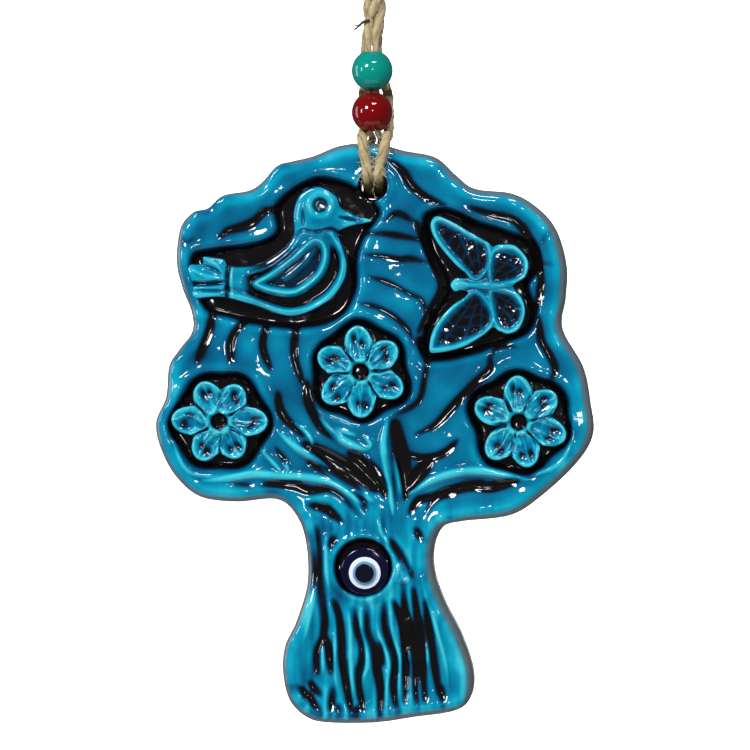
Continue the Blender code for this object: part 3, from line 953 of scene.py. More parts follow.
CROWN_GROOVES = [
    *strokes(1.2, 1.25,
             [(-38, 119.6), (-36.2, 121.4), (-32.5, 122.3), (-29.5, 123.6), (-27, 126), (-23, 127)],
             [(-39.6, 103), (-40.6, 97), (-43.6, 89.2)], [(-30, 101), (-34.8, 95.4), (-35.4, 89)],
             [(-26, 99.6), (-27.4, 93), (-25.4, 87)], [(-18.8, 99), (-19.6, 91), (-17.6, 84)],
             [(4.2, 138.8), (7, 136.4), (9.4, 132.6), (13, 129.6), (18, 127.6)],
             [(24, 127), (29, 125.3), (34.4, 124), (38, 120.2), (40.4, 115.6), (41.4, 109),
              (40, 101)],
             [(41, 100), (41.4, 94.6), (43.4, 90.8), (44.9, 87), (43.8, 84.6)],
             [(28.8, 90.6), (28.6, 87), (24.4, 83), (20.2, 78.6), (15.6, 73.6), (10.6, 71)],
             [(21, 69.8), (17.4, 66.4), (13, 65.2), (8.4, 66.2)],
             [(-23.7, 81.4), (-22.6, 76.2), (-17.2, 70.4)]),
    *strokes(0.9, 0.9,
             [(-2.5, 120.6), (3, 120.5), (9.8, 119.4), (12, 118.6)],
             [(-2.6, 115.4), (2, 115.1), (6, 114.3), (9.4, 114.4), (13.4, 113.4)],
             [(-1.4, 110), (2.4, 109), (6, 107.4), (9.2, 105.6), (12, 104.2), (13.2, 100.6)],
             [(-4.4, 103.6), (1, 102.4), (5.6, 99.8), (8.8, 96.4), (10.2, 93)],
             [(2.6, 123.6), (5.8, 125.6), (9.6, 123.8)],
             [(35.6, 92.6), (31, 92.6), (28.9, 90)],
             [(13.6, 91.6), (12.6, 84), (11.4, 79.6), (8, 77), (5.2, 75.8)]),
    *strokes(1.4, 1.3, [(10.6, 123.6), (12.4, 119), (15, 113), (17.2, 107.6), (15, 103), (11, 96)],
             [(-16.4, 84), (-15.8, 78.6), (-13, 73), (-9, 70)], [(11, 95), (13, 91)]),
    *strokes(0.8, 0.5, [(40.6, 113.4), (44.2, 112.8)], [(-14, 47.6), (-14.1, 45.6)],
             [(41.6, 118), (43.2, 121)], [(-48, 118), (-44.4, 119.4)], blunt=0.6),
]
BRANCH_GROOVES = [
    *strokes(1.5, 1.35,
             [(-27.5, 58.5), (-20, 58.6), (-16, 57.2), (-11, 57.4), (-7.4, 55.6)],
             [(-15.8, 53.6), (-11.4, 52.5), (-7.8, 49.4)],
             [(-16, 64.4), (-12, 62.6), (-7.6, 60), (-3.4, 56.4), (-2, 52.6)],
             [(9, 51.6), (11, 54.6), (15.4, 55.9), (20, 57.6), (27, 59.2)],
             [(24, 58), (30, 58.2), (36, 60)]),
    *strokes(2.1, 1.9,
             [(-17, 68.6), (-12.6, 66.4), (-7.4, 63.4), (-2.4, 59.8), (0.8, 57.2)],
             [(-5.6, 66.4), (-1.4, 63), (2, 59), (3, 56)],
             [(5.4, 74), (7, 66), (8, 58.6), (7.6, 55.4)],
             [(14.4, 64.6), (11.4, 61.6), (8.8, 57.6)]),
    *strokes(0.9, 0.8,
             [(-10, 57.4), (-6, 54), (-3, 50.6)],
             [(12.8, 51), (15, 54.4), (21, 56.9), (25.4, 57.4)],
             [(3.4, 66), (4.6, 60), (6, 54)], [(-35.5, 58.8), (-30, 58.4)],
             [(-24.4, 68), (-22.6, 65.6), (-20.4, 63)]),
]
BRANCH_RIDGES = [
    *strokes(1.7, 0.75,
             [(-42, 59.6), (-36, 60.2), (-29, 61.2), (-22, 60.7), (-14, 60.2), (-8, 58),
              (-2.6, 53.8)],
             [(-23.4, 71.6), (-19.8, 68.4), (-15, 65.4), (-10.6, 61.6), (-5.6, 58), (0, 54.6)],
             [(-13.4, 75.2), (-10, 71.4), (-5, 68.4), (-1.6, 67.2)],
             [(8.6, 56.2), (13, 59), (17, 60.7), (23, 62), (31, 61.6), (38, 60)],
             [(3.6, 75), (2.5, 68.6), (3.6, 62), (4.6, 54)]),
    *strokes(1.0, 0.6,
             [(-28, 67.4), (-24.6, 63.8), (-21.4, 60.2)], [(-21.6, 64.6), (-21, 61.4)],
             [(-20.2, 74), (-16.6, 71.6), (-15.1, 69), (-15.9, 66.7), (-18, 67.2), (-20, 70.2)],
             [(-2.6, 66.2), (0.4, 62), (4, 56.8)], [(5.2, 66), (6.4, 60), (7.4, 54.6)],
             [(-1.6, 67.2), (-0.7, 68.6), (-2.2, 70.6)], [(-9.6, 72.5), (-4, 70.7)],
             [(5, 51), (4.2, 57)], [(1.4, 50), (2.2, 46.6), (4, 44)]),
]
POCKET_LIPS = [
    *strokes(1.0, 0.5, [(-50, 75), (-49, 68), (-46.6, 62.8), (-43, 60.8), (-36, 60.6)],
             [(26, 63), (31, 62), (36, 61.6), (42, 62), (46.4, 64.4), (48.6, 69), (49.4, 75)]),
]
BARK_GROOVES = [
    *strokes(1.35, 1.5,
             [(-14, 48), (-13.4, 42), (-13.2, 36), (-12.6, 30), (-12, 25), (-12.4, 21), (-14, 17),
              (-13.8, 12)],
             [(-11.9, 22), (-10.9, 17), (-10.3, 12)],
             [(-9.9, 30), (-8.4, 26), (-7.8, 20), (-7.7, 16), (-6.9, 11), (-6, 6), (-5.2, 2)],
             [(-4.9, 28), (-4.2, 24), (-3, 20), (-2.7, 16), (-3.6, 12), (-3.2, 8), (-2.4, 3)],
             [(-1.2, 28.6), (-1.3, 23), (0, 18), (0.8, 14), (1.8, 8), (1.6, 1.6)],
             [(2.8, 29.6), (3, 24), (4.4, 19), (5.3, 15), (5, 10), (5.6, 5), (6.4, 2.4)],
             [(4.3, 45), (6.6, 41.4), (9.4, 36)],
             [(12.9, 30), (13.6, 24), (14.8, 18), (15.6, 12), (16.2, 7)]),
    *strokes(1.3, 1.6,
             [(5, 30), (7, 25), (7.8, 20), (8.1, 12), (7.8, 5)],
             [(7.4, 35), (7.9, 28), (9.6, 22), (10.4, 15), (10.4, 8), (11, 4.4)],
             [(9.9, 33), (10.8, 27), (12, 20), (12.4, 12), (12.8, 5)]),
    *strokes(1.2, 1.1,
             [(-19, 9), (-15.6, 6), (-12.6, 1.4)], [(-15.8, 9.8), (-13, 6.6)],
             [(-10, 8.6), (-10.6, 2)], [(-8.6, 4.4), (-8, 1.2)], [(-3.8, 4), (-4.4, 1.6)],
             [(16.6, 9.4), (17.3, 4.8)], [(1.4, 20), (2.4, 14)], [(10.4, 48), (12, 45)],
             [(-9.4, 46), (-10.8, 43)], [(-6, 2.6), (-3.4, 2.2)]),
]
BARK_RIDGES = [
    *strokes(0.9, 0.5,
             [(-16, 44), (-15, 36), (-15.2, 28), (-17, 20)],
             [(-11.6, 46), (-11.6, 38), (-10.6, 32)],
             [(-9.4, 27), (-9.4, 20), (-9.6, 13), (-8.6, 7)], [(-12.4, 20), (-12.4, 12)],
             [(-3, 28), (-3, 23), (-1.9, 19), (-1.4, 14), (-2.6, 10), (-1.6, 4)],
             [(1, 28), (1, 23), (2.6, 19), (4, 14), (3.4, 8), (3.4, 3)],
             [(4.4, 27), (5, 21), (6.6, 16), (6.4, 9), (6.2, 6)],
             [(8.9, 26), (9.2, 21)], [(8.7, 18), (8.8, 15)], [(13.2, 19), (13.6, 14)],
             [(12, 36), (13.4, 30), (16, 22), (18, 14), (18.6, 8)],
             [(5.6, 35), (7, 39.4), (8.8, 35.2), (5.8, 35)],
             [(-6, 27), (-5.6, 22), (-5.4, 12), (-4.9, 6)]),
]

GROOVES = CROWN_GROOVES + BRANCH_GROOVES + BARK_GROOVES
RIDGES = BRANCH_RIDGES + POCKET_LIPS + BARK_RIDGES


@dataclass
class TreeOfLife:
    """The glazed ceramic: the slab with its relief, and the sprigs set in its pockets."""

    glaze: bpy.types.Material
    sprigs: list["Sprig"]
    pocket_depth: float = 2.2
    spacing: float = 0.4
    ridge_share: float = 1.15    # share of the drawn ridges' height that is modelled
    groove_share: float = 0.55   # share of the drawn grooves' depth, the rest being dark glaze
    seat: float = 0.25           # from the pockets' floors to the sprigs' backs

    def __post_init__(self) -> None:
        """Read the slab's depths from its node and lay out its raster."""
        low, high = drawn_box("tree_slab")
        self.front, self.back = float(low[1]), float(high[1])
        self.relief = Relief((-58.0, -4.0), (58.0, 147.0), 0.2)
        self.rim_line = smooth_line(TREE_RIM, self.spacing, closed=True)
        self.depth_in = self.relief.inside(self.rim_line, 12.0)

    def _pockets(self) -> Array:
        """Give how deep each cell lies because of pockets and the eye's recess."""
        relief = self.relief
        total = np.zeros_like(relief.x)
        for sprig in self.sprigs:
            into = relief.inside(sprig.pocket(), 3.0)
            total = np.maximum(total, self.pocket_depth * ramp_up(into, -0.6, 2.0))
            relief.height += 0.28 * bell(into + 1.1, 0.9)
        (x, z), radius = EYE_RECESS
        away = np.hypot(relief.x - x, relief.z - z)
        relief.height += 0.45 * bell(away - radius - 0.7, 0.8)
        total = np.maximum(total, 2.8 * (1 - ramp_up(away, radius - 0.9, radius + 0.25)))
        return total * ramp_up(self.depth_in, 2.2, 4.4)

    def _soft_forms(self) -> Array:
        """Give the border roll, the crown's swell and the hand-made unevenness."""
        relief, into = self.relief, self.depth_in
        roll = 0.5 * bell(into - 2.3, 2.0) - 0.22 * ramp_up(into, 3.4, 6.5)
        wide = relief.uneven(2.6, 0.17, 11) + relief.uneven(1.1, 0.045, 12)
        trunk = bell(relief.z - 20, 30) * 0.35 * bell(relief.x - 1, 15)
        return roll + wide + trunk

    def build(self) -> None:
        """Model the slab and every sprig."""
        relief = self.relief
        relief.height += self._soft_forms()
        pockets = self._pockets()
        flat = 1 - ramp_up(pockets, 0.3, 1.6)
        cuts, ridges = relief.drawn(GROOVES), relief.drawn(RIDGES)
        streaks = relief.uneven(0.45, 1.0, 15, 9.0) * ramp_up(58 - relief.z, 0, 10)
        lumps = relief.uneven(0.7, 0.035, 13) * ramp_up(62 - relief.z, 0, 12)
        relief.height += (self.ridge_share * ridges - self.groove_share * relief.blurred(cuts, 0.35)
                          + lumps + 0.05 * streaks) * flat - pockets
        hole_x, hole_z = CORD_HOLE[0]
        away = np.hypot(relief.x - hole_x, relief.z - hole_z) - CORD_HOLE[1]
        relief.height += 0.35 * bell(away - 1.3, 0.9) - 0.3 * bell(away, 0.6)
        floor = self.front + self.pocket_depth + self.seat
        mouldings = [sprig.moulding(floor) for sprig in self.sprigs]
        tone = self._tone(pockets, (cuts / 1.1).clip(0, 1) * flat, ridges * flat, streaks * flat,
                          mouldings)
        # The unevenness is the glaze's own mottling; the darkening at the cord hole's edge is
        # painted shade.
        tone += relief.uneven(1.9, 0.045, 14) - 0.22 * bell(away, 0.7)
        # Painted shade: the trunk's lower left is darkened.
        tone -= 0.12 * bell(relief.x + 18, 4.5) * bell(relief.z - 13, 9)
        # The slab's outer wall turns grey with painted shade and grazing reflection.
        slab = Moulding("tree_of_life_slab", "tree_slab", self.rim_line, self.front, self.back, 2.6,
                        relief, self.spacing, tone, wall_tone=0.46, holes=[CORD_HOLE],
                        back_rim=1.6, grey_shaded_wall=True, bare_back=True)
        for moulding in (slab, *mouldings):
            moulding.build(self.glaze, "glaze")

    def _tone(self, pockets: Array, cut: Array, ridges: Array, streaks: Array,
              mouldings: list[Moulding]) -> Array:
        """Work out the slab's glaze tone.

        Pockets and grooves darken their surroundings, each by its field blurred at two or three
        widths. The border, the trunk's middle, ridges and the sides of the bark's grooves are lit.

        Args:
            pockets: how deep each cell lies in a pocket.
            cut: the grooves, from 0 to 1 at their floors.
            ridges: the ridges' heights.
            streaks: fine upright unevenness of the trunk.
            mouldings: the sprigs in the pockets.

        Returns:
            The tone at each cell.
        """
        relief, blurred = self.relief, self.relief.blurred
        pool = (pockets / self.pocket_depth).clip(0, 1)
        wood = ramp_up(66 - relief.z - 0.12 * np.abs(relief.x), 0, 12)
        dark = 0.16 * ramp_up(pool, 0.3, 0.9) + 0.44 * blurred(pool, 1.15)
        dark += 0.10 * blurred(pool, 3.0)
        halo = (0.34 - 0.06 * wood) * blurred(cut, 0.35)
        halo += (0.36 - 0.10 * wood) * blurred(cut, 1.1) + 0.10 * blurred(cut, 2.6)
        lit = 0.03 * bell(self.depth_in - 2.4, 1.9) + 0.08 * wood * bell(relief.x + 1, 15)
        lit += 0.08 * bell(self.depth_in - 2.3, 0.9)
        crest = 0.30 * ramp_up(ridges, 0.26, 0.65) + 0.045 * streaks
        crest += 1.0 * wood * (blurred(cut, 0.95) - blurred(cut, 0.5)).clip(0)
        covered = np.logical_or.reduce([self._cover(moulding) for moulding in mouldings])
        surface = np.where(covered, 0.9, relief.height)
        return glaze_tone(relief, surface, dark + halo - lit - crest, 0.16, 0.12)

    def _cover(self, moulding: Moulding) -> Array:
        """Mark the slab's cells that a sprig covers."""
        return self.relief.inside(smooth_line(moulding.outline[::4], 0.6, True), 0.4) > 0


@dataclass(kw_only=True)
class Sprig:
    """A modelled figure that is set in a pocket of the slab."""

    node: str
    spacing: float = 0.2
    face: float = -5.3
    rim: float = 0.8
    wall_tone: float = 0.2

    def pocket(self) -> Array:
        """Give the outline of its pocket."""
        raise NotImplementedError

    def outline(self) -> Array:
        """Give its own outline as evenly spread points."""
        raise NotImplementedError

    def shape(self, line: Array) -> tuple[Relief, Array]:
        """Shape its face within its outline, and work out the glaze's tone on it."""
        raise NotImplementedError

    def moulding(self, floor: float) -> Moulding:
        """Give the sprig as a moulding that stands on the pocket's floor."""
        line = self.outline()
        relief, tone = self.shape(line)
        return Moulding(self.node + "_sprig", self.node, line, self.face, floor, self.rim, relief,
                        self.spacing, tone, wall_tone=self.wall_tone)


@dataclass(kw_only=True)
class Bird(Sprig):
    """The bird sprig: round head with a pit for its eye, beak, long wing and three-part tail."""

    node: str = "bird"
    face: float = -5.2
    rim: float = 1.0
    wall_tone: float = 0.22
    eye: tuple[float, float] = (-13.0, 127.6)

    def pocket(self) -> Array:
        """Give the outline of the bird's pocket."""
        return smooth_line(BIRD_POCKET, 0.8, closed=True)

    def outline(self) -> Array:
        """Give the bird's outline."""
        return smooth_line(BIRD_RIM, self.spacing, closed=True)

    def shape(self, line: Array) -> tuple[Relief, Array]:
        """Shape the bird's face and its glaze tone."""
        relief = Relief((-49, 97), (3, 135), 0.12)
        into = relief.inside(line, 5.0)
        height = 0.55 * ramp_up(into, 0.2, 1.6) + 0.45 * ramp_up(into, 1.0, 4.5)
        head = np.hypot(relief.x + 13.5, relief.z - 127.2)
        height += 0.65 * bell(head, 5.0)
        breast = smooth_line([(-35.6, 105.6), (-30, 104.2), (-25, 102.2), (-20, 101.3),
                              (-14.6, 102.6), (-10.4, 105.6), (-8, 109.4), (-7.3, 113.6),
                              (-8.4, 117.4), (-10.2, 120.4)], 0.6)
        wing_line = smooth_line(WING_RIM, 0.5, True)
        wing = relief.inside(wing_line, 5.0)
        window, far, _ = relief.near(breast, 3.0)
        rolls = np.zeros_like(height)
        rolls[window] = 0.65 * bell(far, 0.5) - 0.3 * bell(far - 1.4, 0.6)
        height += rolls * ramp_up(into, 0.0, 0.8)
        moat = ramp_up(-wing, 0.0, 0.9) * (1 - ramp_up(-wing, 2.2, 4.2))
        body = ramp_up(relief.x + 33, 0, 4) * ramp_up(118.5 - relief.z, 0, 3)
        height -= 1.35 * moat * body * ramp_up(into, 1.9, 3.0)
        height += 0.7 * bell(wing - 0.7, 0.5) + 0.45 * ramp_up(wing, -0.2, 0.8)
        height -= 0.85 * ramp_up(wing, 1.3, 2.5)
        lobe = relief.drawn(strokes(1.5, 0.75, [(-21.6, 109.6), (-17.4, 113.2), (-13.9, 117.4)],
                                    blunt=0.7))
        height += lobe * ramp_up(wing, 1.2, 2.0)
        pit = np.hypot(relief.x - self.eye[0], relief.z - self.eye[1])
        height += 0.42 * bell(pit - 3.1, 0.8) - 1.5 * (1 - ramp_up(pit, 1.2, 2.2))
        height -= relief.drawn([
            *strokes(0.75, 1.1, [(-2.4, 123.8), (-5, 124.1), (-8.2, 124.6)]),
            *strokes(0.95, 1.3, [(-45.6, 108.3), (-41, 108.2), (-36.8, 108.6)], blunt=0.8),
            *strokes(0.9, 1.2, [(-35.9, 112.4), (-36.2, 108.6), (-36, 104.6)], blunt=0.8),
            *strokes(0.7, 0.7, [(-42, 112.8), (-39, 111.6), (-37.4, 110.4)],
                     [(-8.4, 120.6), (-10.4, 121.8), (-14, 121), (-17.6, 121.4), (-19, 119.6)],
                     [(-36.6, 106.4), (-44.4, 106.6)], [(-17.4, 126.4), (-17.2, 122.6)]),
        ])
        height += relief.drawn([
            *strokes(0.8, 0.45, [(-44.6, 111.6), (-41.4, 110.2), (-38, 109.6)],
                     [(-41.2, 114.2), (-38.6, 112.8), (-37.4, 111)], [(-44.4, 105.4), (-38, 105.6)],
                     [(-1.4, 123.6), (-5.6, 125)], [(-2.6, 123), (-7.4, 122.6)],
                     [(-34.9, 111.8), (-35, 108), (-34.6, 105.2)],
                     [(-30.6, 110.6), (-25, 112.6), (-20.6, 116.2), (-18.6, 119)], blunt=0.6),
        ])
        height += relief.uneven(0.9, 0.05, 21)
        relief.height = height
        dark = 0.14 * ramp_up(-height, -0.3, 0.8) + 0.32 * relief.blurred(moat * body, 0.5)
        dark += 0.19 * ramp_up(wing, 1.1, 2.4)
        return relief, glaze_tone(relief, height - 1.4 * (into < 0), dark, 0.23, 0.18)


@dataclass(kw_only=True)
class Butterfly(Sprig):
    """The butterfly sprig: four veined wings with raised margins, a body and a round head."""

    node: str = "butterfly"
    face: float = -5.35

    def pocket(self) -> Array:
        """Give the outline of the butterfly's pocket."""
        return smooth_line(BUTTERFLY_POCKET, 0.8, closed=True)

    def outline(self) -> Array:
        """Give the outline of the four wings and the body together."""
        return smooth_line(BUTTERFLY_RIM, self.spacing, closed=True)

    def shape(self, line: Array) -> tuple[Relief, Array]:
        """Shape the wings and the body."""
        relief = Relief((10, 87), (43, 129), 0.12)
        height = np.zeros_like(relief.x)
        dark = np.zeros_like(relief.x)
        root = np.array([27.0, 107.6])
        for number, points in enumerate(WINGS.values()):
            wing = relief.inside(smooth_line(points, 0.5, True), 6.0)
            margin = 0.7 * bell(wing - 0.75, 0.58)
            inner = ramp_up(wing, 0.9, 2.8)
            away = np.hypot(relief.x - root[0], relief.z - root[1])
            turn = np.arctan2(relief.z - root[1], relief.x - root[0])
            veins = bell(np.sin(turn * 11 + number), 0.33) * ramp_up(away, 2, 5)
            arcs = bell(np.sin(away * 1.15 + 1.2 * np.cos(turn * 5 + number)), 0.32)
            net = np.maximum(veins, arcs * 0.8)
            own = wing > 0
            height = np.where(own, np.maximum(height, margin + inner * (0.10 * net - 0.2)), height)
            dark = np.where(own, np.maximum(dark, inner * (0.35 - 0.15 * net)), dark)
        grain = relief.uneven(0.45, 0.02, 31)
        body = relief.inside(smooth_line(BUTTERFLY_BODY, 0.4, True), 4.0)
        height = np.maximum(height, 1.05 * ramp_up(body, -0.3, 1.1))
        dark *= 1 - ramp_up(body, -0.4, 0.5)
        knob = np.hypot(relief.x - 20.6, relief.z - 107.9)
        height = np.maximum(height, 0.85 * (1 - ramp_up(knob, 0.8, 1.9)))
        dots = relief.drawn([Stroke(0.75, 0.16, [(x, z), (x + 0.4, z + 0.3)], 0.9) for x, z in (
            (31.8, 114.8), (34.6, 114.4), (36.2, 111.8), (32, 99.6), (34.8, 99.4), (35.8, 102.4),
            (17.4, 121.6), (20.6, 120.4), (24, 118.2), (17, 94.4), (21, 94.9), (25, 97))])
        height += grain + relief.uneven(1.2, 0.06, 32) - dots
        relief.height = height
        outside = relief.inside(line, 3.0) < 0
        return relief, glaze_tone(relief, height - 1.2 * outside, dark + 0.6 * dots, 0.26, 0.20)


@dataclass(kw_only=True)
class Flower(Sprig):
    """A six-petalled flower sprig; each petal has its own direction and length."""

    centre: tuple[float, float]
    directions: tuple[float, ...]
    lengths: tuple[float, ...]
    seed: int
    spacing: float = 0.17
    petal_width: float = 3.7
    hole: float = 2.2

    def _reach(self, angle: Array) -> Array:
        """Give the outline's radius: the far side of the longest petal's ellipse at each angle."""
        reach = np.full(angle.shape, 4.6)
        for direction, length in zip(self.directions, self.lengths):
            middle, half = 0.60 * length, 0.40 * length
            turn = angle - math.radians(direction)
            cos, sin = np.cos(turn), np.sin(turn)
            a = (cos / half) ** 2 + (sin / self.petal_width) ** 2
            b = cos * middle / half ** 2
            root = b * b - a * ((middle / half) ** 2 - 1)
            far = np.where(root > 0, (b + np.sqrt(root.clip(0))) / a, 0)
            reach = np.maximum(reach, np.where(cos > 0, far, 0))
        return reach

    def outline(self) -> Array:
        """Give the flower's outline as evenly spread points."""
        angle = np.linspace(0, 2 * math.pi, 300, endpoint=False)
        reach = ring_blur(self._reach(angle)[:, None], 1.6)[:, 0]
        ring = np.stack([self.centre[0] + reach * np.cos(angle),
                         self.centre[1] + reach * np.sin(angle)], 1)
        return smooth_line(ring, self.spacing, closed=True)

    def pocket(self) -> Array:
        """Give the outline of the flower's pocket, which follows the petals a little."""
        angle = np.linspace(0, 2 * math.pi, 80, endpoint=False)
        petals = ring_blur(self._reach(angle)[:, None], 2.0)[:, 0]
        reach = 0.5 * petals + 0.5 * max(self.lengths) + 1.5 + 0.4 * np.cos(3 * angle + self.seed)
        return np.stack([self.centre[0] + reach * np.cos(angle),
                         self.centre[1] + reach * np.sin(angle)], 1)

    def shape(self, line: Array) -> tuple[Relief, Array]:
        """Shape petals with raised edges, veins and dimples, and the hollow centre."""
        x, z = self.centre
        relief = Relief((x - 15, z - 15), (x + 15, z + 15), 0.1)
        rng = np.random.default_rng(self.seed)
        across, up = relief.x - x, relief.z - z
        away, turn = np.hypot(across, up), np.arctan2(up, across)
        height, dark = np.zeros_like(away), np.zeros_like(away)
        best = np.full(away.shape, 9.0)
        wobble = relief.uneven(1.1, 0.28, self.seed + 20)
        blotch = relief.uneven(0.35, 0.35, self.seed + 30)
        for direction, length in zip(self.directions, self.lengths):
            angle = math.radians(direction)
            along = across * math.cos(angle) + up * math.sin(angle)
            side = -across * math.sin(angle) + up * math.cos(angle)
            middle, half = 0.58 * length, 0.42 * length
            width = self.petal_width * (0.62 + 0.38 * ramp_up(along, 2.0, 7.0))
            side = side + wobble
            edge = np.hypot((along - middle) / half, side / width)
            shift = rng.uniform(-0.5, 0.5)
            roll = 0.55 * bell(edge - 0.88, 0.085)
            bowl = 0.35 - 0.30 * bell(edge, 0.55)
            veins = 0.34 * bell(side - shift, 0.28) * ramp_up(along, 2.6, 4.0)
            outer_veins = bell(np.abs(side - 0.1 * along) - 1.45, 0.26)
            veins += 0.3 * outer_veins * ramp_up(9.4 - along, 0, 3)
            dimples = [(0.72 * length, rng.uniform(0.6, 1.2), 1.0),
                       (rng.uniform(0.55, 0.72) * length, -rng.uniform(0.7, 1.3), 0.8)]
            sunk = sum(0.75 * bell(np.hypot((along - u) / 1.35, side - v), size)
                       for u, v, size in dimples)
            own = edge < best
            local = (roll + bowl + veins - 0.7 * sunk) * (1 - ramp_up(edge, 0.86, 1.08))
            height = np.where(own, local, height)
            dark = np.where(own, 0.36 * sunk * (1 + blotch), dark)
            best = np.minimum(best, edge)
        gaps = np.sort([d % 360 for d in self.directions])
        middles = np.radians((gaps + np.roll(gaps, -1) + np.array([0] * 5 + [360])) / 2)
        for gap in middles:
            off = np.abs((turn - gap + math.pi) % (2 * math.pi) - math.pi) * away
            height -= 0.75 * bell(off, 0.5) * ramp_up(away, 2.4, 3.4) * (off < 3)
        height += 0.55 * bell(away - self.hole - 0.8, 0.55)
        height -= 1.9 * (1 - ramp_up(away, self.hole - 0.9, self.hole + 0.1))
        height += relief.uneven(0.6, 0.05, self.seed + 50)
        relief.height = height
        into = relief.inside(line, 3.0)
        dark += 0.5 * (1 - ramp_up(away, self.hole - 0.6, self.hole + 0.1))
        surface = height - 1.2 * (into < 0)
        return relief, glaze_tone(relief, surface, dark - 0.16 * blotch - 0.03)


# ------------------------------------------------------------------ glass eye and beads
@dataclass
class GlassEye:
    """The eye: layers of glass, each fused on the one behind, in a bed of glue."""

    glass: dict[str, bpy.types.Material]

    def build(self) -> None:
        """Turn each layer as a low dome within its node's box, with a rounded edge."""
        layers = {"eye_glue": ("glue", 0.0, 0.2), "eye_base": ("eye_navy", 0.45, 0.8),
                  "eye_white": ("eye_white", 0.18, 0.2), "eye_light_blue": ("eye_blue", 0.12, 0.15),
                  "eye_pupil": ("eye_pupil", 0.16, 0.16)}
        for node, (slot, dome, edge) in layers.items():
            low, high = drawn_box(node)
            middle = (low + high) / 2
            radius, thick = (high[0] - low[0]) / 2, high[1] - low[1]
            turned(node + "_layer", self._dome(radius, thick, dome, edge),
                   (middle[0], high[1], middle[2]), "y", self.glass[slot], slot, TREE_BODY)
            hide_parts(node)

    @staticmethod
    def _dome(radius: float, thick: float, dome: float, edge: float) -> Array:
        """Give a dome's profile from its front pole to its back pole.

        The front is a parabola that falls by `dome` from the middle to the edge, and a quarter
        round of `edge` leads to the side.
        """
        r = np.linspace(0, radius - edge, 14)
        top = np.stack([r, thick - dome * (r / radius) ** 2], 1)
        fall = thick - dome * ((radius - edge) / radius) ** 2
        turn = np.linspace(0, math.pi / 2, 7)[1:]
        corner = np.stack([radius - edge + edge * np.sin(turn),
                           fall - edge * (1 - np.cos(turn))], 1)
        return np.vstack([top, corner, [(radius, 0.02), (radius - 0.05, 0.0), (0.0, 0.0)]])


@dataclass
class Bead:
    """A round bead with a bore whose mouths are rounded."""

    node: str
    body: str
    finish: bpy.types.Material
    bore: float = 2.05
    mouth: float = 0.15

    def build(self) -> bpy.types.Object:
        """Turn the bead about its bore: outside arc, rounded mouth, straight bore, mouth."""
        low, high = drawn_box(self.node)
        centre = (low + high) / 2
        radius = 1.02 * (high[0] - low[0]) / 2
        start = math.asin((self.bore + self.mouth) / radius)
        angle = np.linspace(start, math.pi - start, 60)
        arc = np.stack([radius * np.sin(angle), radius * np.cos(angle)], 1)
        turn = np.linspace(0.15, 1, 6)[:, None] * math.pi / 2
        lip = self.mouth * np.hstack([-np.sin(turn), -1 + np.cos(turn)])
        top = arc[-1] + lip * (1, -1)
        bore = [(self.bore, z) for z in np.linspace(top[-1, 1], -top[-1, 1], 6)[1:-1]]
        profile = np.vstack([arc, top, bore, top[::-1] * (1, -1)])
        bead = turned(self.node + "_glass", profile, tuple(centre), "z", self.finish,
                      "red_glass" if self.node == "red_bead" else "teal_glass", self.body, 96)
        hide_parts(self.node)
        return bead


# ------------------------------------------------------------------ twine
class Lay(Enum):
    """Which way a twine's plies turn, as the sign of the turn."""

    LEFT = -1
    RIGHT = 1


